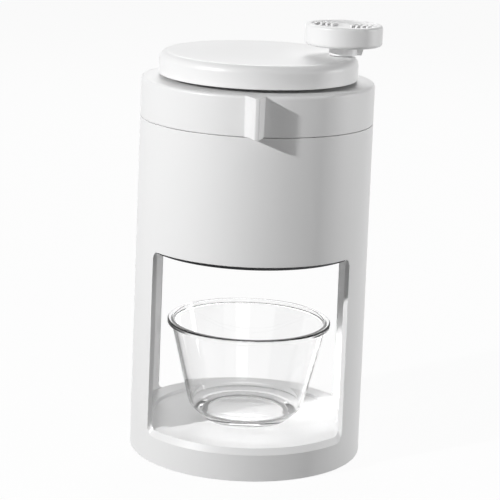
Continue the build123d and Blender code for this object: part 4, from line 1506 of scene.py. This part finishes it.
@dataclass
class Crank(SubAssembly):
    """Round crank disc with its drive shaft, and the knob's axle."""

    spring: Spring = field(default_factory=Spring)
    disc_r: float = 55.33
    gap: float = 1.9
    edge_round: float = 4.8
    low_round: float = 0.4
    inner_low_round: float = 0.3
    spigot_r: float = 14.95
    bore_r: float = 7.0
    spigot_low: float = 203.7
    thrust: float = 215.25
    thrust_r: float = 18.4
    flange_low: float = 200.9
    boss_r: float = 4.8
    boss_bore_r: float = 2.45
    boss_drop: float = 10.6
    boss_bore_drop: float = 9.5
    boss_sink: float = 0.5
    ribs: int = 8
    first_rib: float = 22.5
    rib_half: float = 0.8
    rib_sink: float = 1.0
    rib_reach: float = 0.8
    rib_drop: float = 6.5
    rib_gap: float = 1.6
    screws: int = 3
    screw_circle_r: float = 10.5
    first_screw: float = 90.0
    screw_drop: float = 1.5
    screw_rise: float = 8.5

    def disc(self) -> bpy.types.Object:
        """Makes the disc with its spigot, the axle's boss and the ribs.

        Returns:
            The finished object.
        """
        low = SIZES.ring_top + self.gap
        top, ceiling = SIZES.disc_top, SIZES.disc_top - SIZES.wall
        inner = self.disc_r - SIZES.wall
        shell = Solid().turn(
            [(self.bore_r, self.spigot_low), (self.spigot_r, self.spigot_low),
             (self.spigot_r, self.thrust), (self.thrust_r, self.thrust), (self.thrust_r, ceiling),
             (inner, ceiling), (inner, low), (self.disc_r, low), (self.disc_r, top), (0, top),
             (0, low), (self.bore_r, low)],
            rounds=[((self.disc_r, top), self.edge_round),
                    ((inner, ceiling), self.edge_round - SIZES.wall),
                    ((self.disc_r, low), self.low_round), ((inner, low), self.inner_low_round)],
            steps=256)
        foot, bore_end = top - self.boss_drop, top - self.boss_bore_drop
        head = ceiling + self.boss_sink
        shell.turn([(0, foot), (self.boss_r, foot), (self.boss_r, head), (self.boss_bore_r, head),
                    (self.boss_bore_r, bore_end), (0, bore_end)], steps=64, x=SIZES.knob_x)
        made = shell.object("crank_disc_shell")
        rib = Solid().block(self.thrust_r - self.rib_sink, inner + self.rib_reach, -self.rib_half,
                            self.rib_half, ceiling - self.rib_drop, ceiling - self.rib_gap)
        ribs = round_copies("disc_rib_copies", rib.object("disc_ribs"), self.ribs, 0.0,
                            self.first_rib, self.palette[Finish.BODY])
        return merged("crank_disc_shell", [made, ribs])

    def build(self) -> None:
        """Builds and dresses the crank."""
        self.dress(self.disc(), "crank", Finish.BODY, "crank_disc")
        seed = PanScrew(self.flange_low - self.screw_drop, self.spigot_low + self.screw_rise).make()
        screws = round_copies("shaft_screw_copies", seed, self.screws, self.screw_circle_r,
                              self.first_screw, self.palette[Finish.STEEL])
        screws.name = "drive_flange_screws"
        self.dress(screws, "crank", Finish.STEEL, "shaft_screws")
        self.keep(Finish.INNER, "drive_shaft")
        self.keep(Finish.STEEL, "stop_washer", "stop_screw", "knob_axle", "axle_washer")
        spring = coil("presser_coil", self.spring.turns, self.spring.radius, self.spring.low,
                      self.spring.high, self.spring.wire_r, self.palette[Finish.STEEL])
        self.dress(spring, "crank", Finish.STEEL, "presser_spring")
        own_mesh(spring)


# ---------------------------------------------------------------- presser
@dataclass
class Spikes:
    """Steel spikes under the presser's plate, in two rings."""

    radius: float = 1.6
    tip: float = 129.6
    cone: float = 2.9
    tip_round: float = 0.5
    sink: float = 2.2
    rings: tuple[tuple[int, float], ...] = ((6, 29.5), (12, 13.5))

    def make(self, plate_r: float, plate_low: float, steel: bpy.types.Material) -> bpy.types.Object:
        """Makes both rings.

        Args:
            plate_r: radius of the plate.
            plate_low: height of the plate's underside.
            steel: the spikes' finish.

        Returns:
            The finished object.
        """
        shoulder, head = self.tip + self.cone, plate_low + self.sink
        made = []
        for count, inset in self.rings:
            pin = Solid().turn([(0, self.tip), (self.radius, shoulder), (self.radius, head), (0, head)],
                               rounds=[((self.radius, shoulder), self.tip_round)], steps=24)
            made.append(round_copies(f"spike_copies_{count}", pin.object(f"spikes_{count}"), count,
                                     plate_r - inset, 180.0 / count, steel))
        return merged("ice_spikes", made)


@dataclass
class Presser(SubAssembly):
    """Spiked plate with its telescoping sleeve."""

    spikes: Spikes = field(default_factory=Spikes)
    wall_gap: float = 4.6
    low: float = 136.1
    low_round: float = 1.0
    thickness: float = 3.0
    rim_height: float = 3.4
    rim_wall: float = 2.0
    rim_round: float = 0.6
    seat_r: float = 15.9
    seat_wall: float = 1.6
    seat_height: float = 3.0
    sleeve_r: float = 10.4
    sleeve_top: float = 172.7
    bore_r: float = 8.0
    guide: float = 162.7
    guide_r: float = 4.0
    shaft_half: float = 5.65
    foot: float = 131.8
    foot_wall: float = 1.2
    ribs: int = 6
    rib_half: float = 1.2
    rib_sink: float = 1.0
    rib_drop: float = 0.8
    low_rib_gap: float = 4.0
    low_rib_depth: float = 4.6
    rib_ease: float = 0.25

    @property
    def r(self) -> float:
        """Radius of the plate, clear of the hopper's lower end."""
        return SIZES.hopper_r - SIZES.hopper_draft - SIZES.hopper_wall - self.wall_gap

    def plate(self) -> bpy.types.Object:
        """Makes the plate with its rim, seat and sleeve, and the bore for the shaft.

        Returns:
            The finished object.
        """
        r, rim, foot_r = self.r, self.r - self.rim_wall, self.sleeve_r + self.foot_wall
        top = self.low + self.thickness
        rim_top, seat_top = top + self.rim_height, top + self.seat_height
        plate = Solid().turn(
            [(self.bore_r, self.foot), (foot_r, self.foot), (foot_r, self.low), (r, self.low),
             (r, rim_top), (rim, rim_top), (rim, top), (self.seat_r + self.seat_wall, top),
             (self.seat_r + self.seat_wall, seat_top), (self.seat_r, seat_top), (self.seat_r, top),
             (self.sleeve_r, top), (self.sleeve_r, self.sleeve_top), (self.guide_r, self.sleeve_top),
             (self.guide_r, self.guide), (self.bore_r, self.guide)],
            rounds=[((r, self.low), self.low_round), ((r, rim_top), self.rim_round),
                    ((rim, rim_top), self.rim_round)])
        corner_r = self.shaft_half / math.cos(math.radians(30))
        hexagon = [(corner_r * math.cos(math.radians(60 * k)), corner_r * math.sin(math.radians(60 * k)))
                   for k in range(6)]
        bore = Solid().prism(hexagon, self.guide - SPARE, self.sleeve_top + SPARE)
        return cut(plate.object("presser_disc"), [bore.object("cutter")])

    def rib_copies(self) -> bpy.types.Object:
        """Makes the ribs over and under the plate.

        Returns:
            The finished object.
        """
        r, top = self.r, self.low + self.thickness
        rib = Solid().block(self.seat_r + self.rib_sink, r - self.rib_sink, -self.rib_half,
                            self.rib_half, top - self.rib_sink, top + self.rim_height - self.rib_drop)
        rib.block(self.sleeve_r, r - self.low_rib_gap, -self.rib_half, self.rib_half,
                  self.low - self.low_rib_depth, self.low + self.rib_sink)
        return round_copies("presser_rib_copies", rib.object("presser_ribs", bevel=self.rib_ease),
                            self.ribs, 0.0, 0.0, self.palette[Finish.INNER])

    def build(self) -> None:
        """Builds and dresses the presser."""
        whole = merged("presser_disc", [self.plate(), self.rib_copies()])
        self.dress(whole, "presser", Finish.INNER, "presser_plate")
        spikes = self.spikes.make(self.r, self.low, self.palette[Finish.STEEL])
        self.dress(spikes, "presser", Finish.STEEL, "presser_spikes")
        self.keep(Finish.INNER, "bore_cap")


# ---------------------------------------------------------------- knob
@dataclass
class GripBars:
    """Two groups of slanting bars in the knob's cap."""

    count: int = 5
    pitch: float = 2.9
    first: float = 5.2
    length: float = 7.6
    width: float = 1.35
    corner: float = 0.2
    proud: float = 0.35
    sink: float = 0.4
    lean: float = 62.0
    slope: float = -0.45
    back: float = 2.4
    ease: float = 0.12

    def plan(self) -> list[Point]:
        """Outline of one bar round the axis.

        Returns:
            Its points.
        """
        a = math.radians(self.lean)
        half = [(sx * self.length / 2, sy * self.width / 2)
                for sx, sy in ((-1, -1), (1, -1), (1, 1), (-1, 1))]
        half = rounded(half, [(p, self.width * self.corner) for p in half], 4)
        return [(px * math.cos(a) - py * math.sin(a), px * math.sin(a) + py * math.cos(a))
                for px, py in half]

    def make(self, dish: float, cap_top: float, finish: bpy.types.Material) -> list[bpy.types.Object]:
        """Makes both groups.

        Args:
            dish: height of the dish they stand in.
            cap_top: height of the cap's edge.
            finish: their finish.

        Returns:
            The groups.
        """
        plan = self.plan()
        groups = []
        for side in (-1, 1):
            bar = Solid().prism(plan, dish - self.sink, cap_top + self.proud)
            start = Vector((SIZES.knob_x + side * self.first,
                            side * self.first * self.slope + self.back, 0))
            step = Vector((side * self.pitch, side * self.pitch * self.slope, 0))
            groups.append(line_copies(f"grip_bar_copies_{side}", bar.object("grip_bars", bevel=self.ease),
                                      self.count, start, step, finish))
        return groups


@dataclass
class Knob(SubAssembly):
    """Turning knob: hub with its lug, round body and dished grip cap."""

    bars: GripBars = field(default_factory=GripBars)
    r: float = 21.53
    low: float = 234.5
    height: float = 11.6
    wall: float = 2.3
    top_round: float = 1.5
    low_round: float = 2.0
    floor_round: float = 1.0
    seat_round: float = 0.35
    hub_r: float = 7.8
    hub_low: float = 228.9
    hub_round: float = 0.5
    hub_ease: float = 0.15
    neck_r: float = 6.2
    neck_height: float = 5.0
    bore_r: float = 3.05
    lug_top_r: float = 11.9
    lug_low_r: float = 10.4
    lug_start: float = 2.0
    lug_span: float = 116.0
    lug_sink: float = 1.0
    lug_lift: float = 0.001
    cap_r: float = 18.0
    cap_height: float = 2.7
    cap_drop: float = 0.4
    cap_round: float = 0.25
    fit: float = 0.02
    shelf: float = 1.2
    shelf_slope: float = 2.6
    dish: float = 1.3
    dish_edge: float = 1.0
    dish_wall: float = 1.2
    dish_fall: float = 0.2
    dish_top_round: float = 0.4
    dish_low_round: float = 0.8

    def hub(self) -> bpy.types.Object:
        """Makes the hub with its lug.

        Returns:
            The finished object.
        """
        x, neck = SIZES.knob_x, self.low + self.neck_height
        hub = Solid().turn([(self.bore_r, self.hub_low), (self.hub_r, self.hub_low),
                            (self.hub_r, self.low), (self.neck_r, self.low), (self.neck_r, neck),
                            (self.bore_r, neck)],
                           rounds=[((self.hub_r, self.hub_low), self.hub_round)], steps=120, x=x)
        into, foot = self.hub_r - self.lug_sink, self.hub_low + self.lug_lift
        hub.turn([(into, foot), (self.lug_low_r, foot), (self.lug_top_r, self.low), (into, self.low)],
                 start=self.lug_start, angle=self.lug_span, steps=180, x=x)
        return hub.object("knob_hub_piece", bevel=self.hub_ease)

    def shell(self, top: float, cap_low: float) -> bpy.types.Object:
        """Makes the round body.

        Args:
            top: height of its edge.
            cap_low: height of the shelf that carries the cap.

        Returns:
            The finished object.
        """
        inner, floor, seat = self.r - self.wall, self.low + self.wall, self.cap_r + self.fit
        shelf = seat - self.shelf
        body = Solid().turn(
            [(self.neck_r + self.fit, self.low), (self.r, self.low), (self.r, top), (seat, top),
             (seat, cap_low), (shelf, cap_low), (shelf, cap_low - self.shelf),
             (inner, cap_low - self.shelf_slope), (inner, floor), (self.neck_r + self.fit, floor)],
            rounds=[((self.r, top), self.top_round), ((self.r, self.low), self.low_round),
                    ((inner, floor), self.floor_round), ((seat, top), self.seat_round)],
            steps=160, x=SIZES.knob_x)
        return body.object("knob_shell")

    def cap(self, top: float, cap_low: float) -> bpy.types.Object:
        """Makes the dished cap with its bars.

        Args:
            top: height of the cap's edge.
            cap_low: height of the cap's underside.

        Returns:
            The finished object.
        """
        dish, dish_r = top - self.dish, self.cap_r - self.dish_edge
        dish_low = (dish_r - self.dish_wall, dish + self.dish_fall)
        cap = Solid().turn([(0, cap_low), (self.cap_r, cap_low), (self.cap_r, top), (dish_r, top),
                            dish_low, (0, dish - self.dish_fall)],
                           rounds=[((self.cap_r, top), self.cap_round),
                                   ((dish_r, top), self.dish_top_round),
                                   (dish_low, self.dish_low_round)], steps=160, x=SIZES.knob_x)
        made = cap.object("grip_cap")
        return merged("grip_cap", [made, *self.bars.make(dish, top, self.palette[Finish.BODY])])

    def build(self) -> None:
        """Builds and dresses the knob."""
        self.dress(self.hub(), "knob", Finish.BODY, "knob_hub")
        top = self.low + self.height
        cap_low = top - self.cap_drop - self.cap_height
        self.dress(self.shell(top, cap_low), "knob", Finish.BODY, "knob_body")
        self.dress(self.cap(top - self.cap_drop, cap_low), "knob", Finish.BODY, "knob_cap")


# ---------------------------------------------------------------- bowl
@dataclass
class Bowl(SubAssembly):
    """Thick-based glass bowl with a rolled rim."""

    foot: float = 17.5
    foot_r: float = 25.0
    foot_round: float = 0.8
    foot_ring: float = 4.0
    foot_slope: float = 3.0
    hollow: float = 0.5
    height: float = 57.6
    rim_r: float = 46.7
    rim_height: float = 2.8
    rim_reach: float = 2.4
    rim_low_round: float = 0.8
    rim_top_round: float = 0.9
    neck_round: float = 0.8
    lip: float = 0.6
    wall: float = 2.3
    slope: float = 0.234
    floor: float = 5.2
    floor_round: float = 5.0
    shoulder: float = 7.6
    shoulder_round: float = 9.0
    crease: float = 70.0

    @property
    def neck(self) -> float:
        """Height of the rim's underside."""
        return self.foot + self.height - self.rim_height

    def wall_r(self, height: float) -> float:
        """Outside radius of the straight wall at a height."""
        return self.rim_r - self.rim_reach - (self.neck - height) * self.slope

    def build(self) -> None:
        """Builds and dresses the bowl."""
        top, neck = self.foot + self.height, (self.wall_r(self.neck), self.neck)
        height, floor = self.foot + self.shoulder, self.foot + self.floor
        shoulder = (self.wall_r(height), height)
        lip, inner = self.wall_r(top) - self.wall + self.lip, self.wall_r(floor) - self.wall
        glass = Solid().turn(
            [(0, self.foot + self.hollow), (self.foot_r - self.foot_ring, self.foot + self.hollow),
             (self.foot_r - self.foot_slope, self.foot), (self.foot_r, self.foot), shoulder, neck,
             (self.rim_r, self.neck), (self.rim_r, top), (lip, top), (inner, floor), (0, floor)],
            rounds=[(shoulder, self.shoulder_round), ((self.rim_r, self.neck), self.rim_low_round),
                    ((self.rim_r, top), self.rim_top_round), ((lip, top), self.rim_top_round),
                    ((inner, floor), self.floor_round), (neck, self.neck_round),
                    ((self.foot_r, self.foot), self.foot_round)], steps=256)
        made = glass.object("glass_bowl_piece", crease=self.crease)
        self.dress(made, "bowl", Finish.GLASS, "glass_bowl")


# ---------------------------------------------------------------- studio
@dataclass
class Lamp:
    """Rectangular lamp that points at the object."""

    name: str
    azimuth: float
    elevation: float
    distance: float
    width: float
    height: float
    power: float
    aim: float = 0.12

    def hang(self) -> None:
        """Makes the lamp."""
        a, e = math.radians(self.azimuth), math.radians(self.elevation)
        aim = Vector((0, 0, self.aim))
        back = Vector((math.sin(a) * math.cos(e), -math.cos(a) * math.cos(e), math.sin(e)))
        data = bpy.data.lights.new(self.name, "AREA")
        data.shape = "RECTANGLE"
        data.size, data.size_y = self.width, self.height
        data.energy = self.power
        lamp = bpy.data.objects.new(self.name, data)
        bpy.context.scene.collection.objects.link(lamp)
        turn = back.to_track_quat("Z", "Y").to_matrix().to_4x4()
        lamp.matrix_world = Matrix.Translation(aim + back * self.distance) @ turn


@dataclass
class Camera:
    """The photo's camera; angles in degrees, the eye in millimetres."""

    lens: float = 137.428
    sensor: float = 36.0
    eye: tuple[float, float, float] = (-0.907, -1056.00, 369.21)
    elevation: float = 13.509
    roll: float = 2.235

    def place(self) -> None:
        """Makes the camera."""
        data = bpy.data.cameras.new("camera")
        data.lens, data.sensor_width = self.lens, self.sensor
        camera = bpy.data.objects.new("camera", data)
        bpy.context.scene.collection.objects.link(camera)
        e, r = math.radians(self.elevation), math.radians(self.roll)
        back = Vector((0, -math.cos(e), math.sin(e)))
        level, up = Vector((1, 0, 0)), Vector((0, math.sin(e), math.cos(e)))
        right = level * math.cos(r) + up * math.sin(r)
        above = up * math.cos(r) - level * math.sin(r)
        turn = Matrix((right, above, back)).transposed().to_4x4()
        camera.matrix_world = Matrix.Translation(Vector(self.eye) * MM) @ turn
        bpy.context.scene.camera = camera


@dataclass
class Studio:
    """Pale floor, plain world, lamps and the camera."""

    ambient: float = 0.04
    floor_share: float = 0.95
    floor_r: float = 9000.0
    floor_thickness: float = 1.0
    paper: float = 0.9
    bounce: float = 0.25
    camera: Camera = field(default_factory=Camera)
    lamps: list[Lamp] = field(default_factory=lambda: [
        Lamp("key", -55.0, 24.0, 1.6, 0.05, 0.05, 22.0),
        Lamp("front", 10.0, 3.0, 2.0, 0.8, 0.8, 2.0),
        Lamp("near_right", 60.0, 10.0, 1.6, 0.7, 0.7, 3.0),
        Lamp("far_right", 95.0, 10.0, 1.6, 0.7, 0.7, 10.5),
        Lamp("back", 180.0, 38.0, 1.6, 0.8, 0.8, 7.5),
    ])

    def white_to_camera(self, tree: Tree, plain: bpy.types.NodeSocket,
                        share: float) -> bpy.types.NodeSocket:
        """Mixes white light in for camera, mirror and glass rays.

        Args:
            tree: the tree that gets the nodes.
            plain: the shader that lights the object.
            share: share of white in what those rays see.

        Returns:
            The mixed shader's socket.
        """
        path = tree.node("ShaderNodeLightPath")
        seen = (Wire(tree, path.outputs["Is Camera Ray"]) + Wire(tree, path.outputs["Is Glossy Ray"])
                + Wire(tree, path.outputs["Is Transmission Ray"]))
        seen = tree.value("ShaderNodeMath", {"operation": "MINIMUM"}, {0: seen, 1: 1.0}) * share
        kind = "ShaderNodeBackground" if share == 1.0 else "ShaderNodeEmission"
        white = tree.node(kind, {}, {"Color": (1, 1, 1, 1), "Strength": 1.0})
        return tree.node("ShaderNodeMixShader", {}, {0: seen, 1: plain, 2: white.outputs[0]}).outputs[0]

    def world(self) -> None:
        """Makes the plain world."""
        world = bpy.data.worlds.new("plain_world")
        bpy.context.scene.world = world
        world.use_nodes = True
        world.node_tree.nodes.clear()
        tree = Tree(world.node_tree)
        dim = tree.node("ShaderNodeBackground", {}, {"Color": (1, 1, 1, 1), "Strength": self.ambient})
        tree.node("ShaderNodeOutputWorld", {}, {"Surface": self.white_to_camera(tree, dim.outputs[0], 1.0)})

    def floor(self) -> None:
        """Makes the pale floor."""
        low, r = -self.floor_thickness, self.floor_r
        floor = Solid().turn([(0, low), (r, low), (r, 0), (0, 0)], steps=64).object("floor")
        stuff = bpy.data.materials.new("floor_paper")
        stuff.use_nodes = True
        stuff.node_tree.nodes.clear()
        tree = Tree(stuff.node_tree)
        bounced = Wire(tree, tree.node("ShaderNodeLightPath").outputs["Is Diffuse Ray"])
        colour = tree.blend(bounced, (self.paper,) * 3, (self.bounce,) * 3)
        paper = tree.node("ShaderNodeBsdfDiffuse", {}, {"Color": colour})
        tree.node("ShaderNodeOutputMaterial", {}, {
            "Surface": self.white_to_camera(tree, paper.outputs[0], self.floor_share)})
        floor.data.materials.append(stuff)

    def build(self) -> None:
        """Sets the stage."""
        self.world()
        self.floor()
        for lamp in self.lamps:
            lamp.hang()
        self.camera.place()
        bpy.context.scene.view_settings.view_transform = "Standard"


def main() -> None:
    """Builds every sub-assembly, then the studio."""
    logging.basicConfig(level=logging.INFO, format="%(message)s")
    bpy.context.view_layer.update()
    palette = Palette()
    for kind in (Stand, Hopper, Cover, Crank, Presser, Knob, Bowl):
        kind(palette).build()
    Studio().build()


if __name__ == "__main__":
    main()
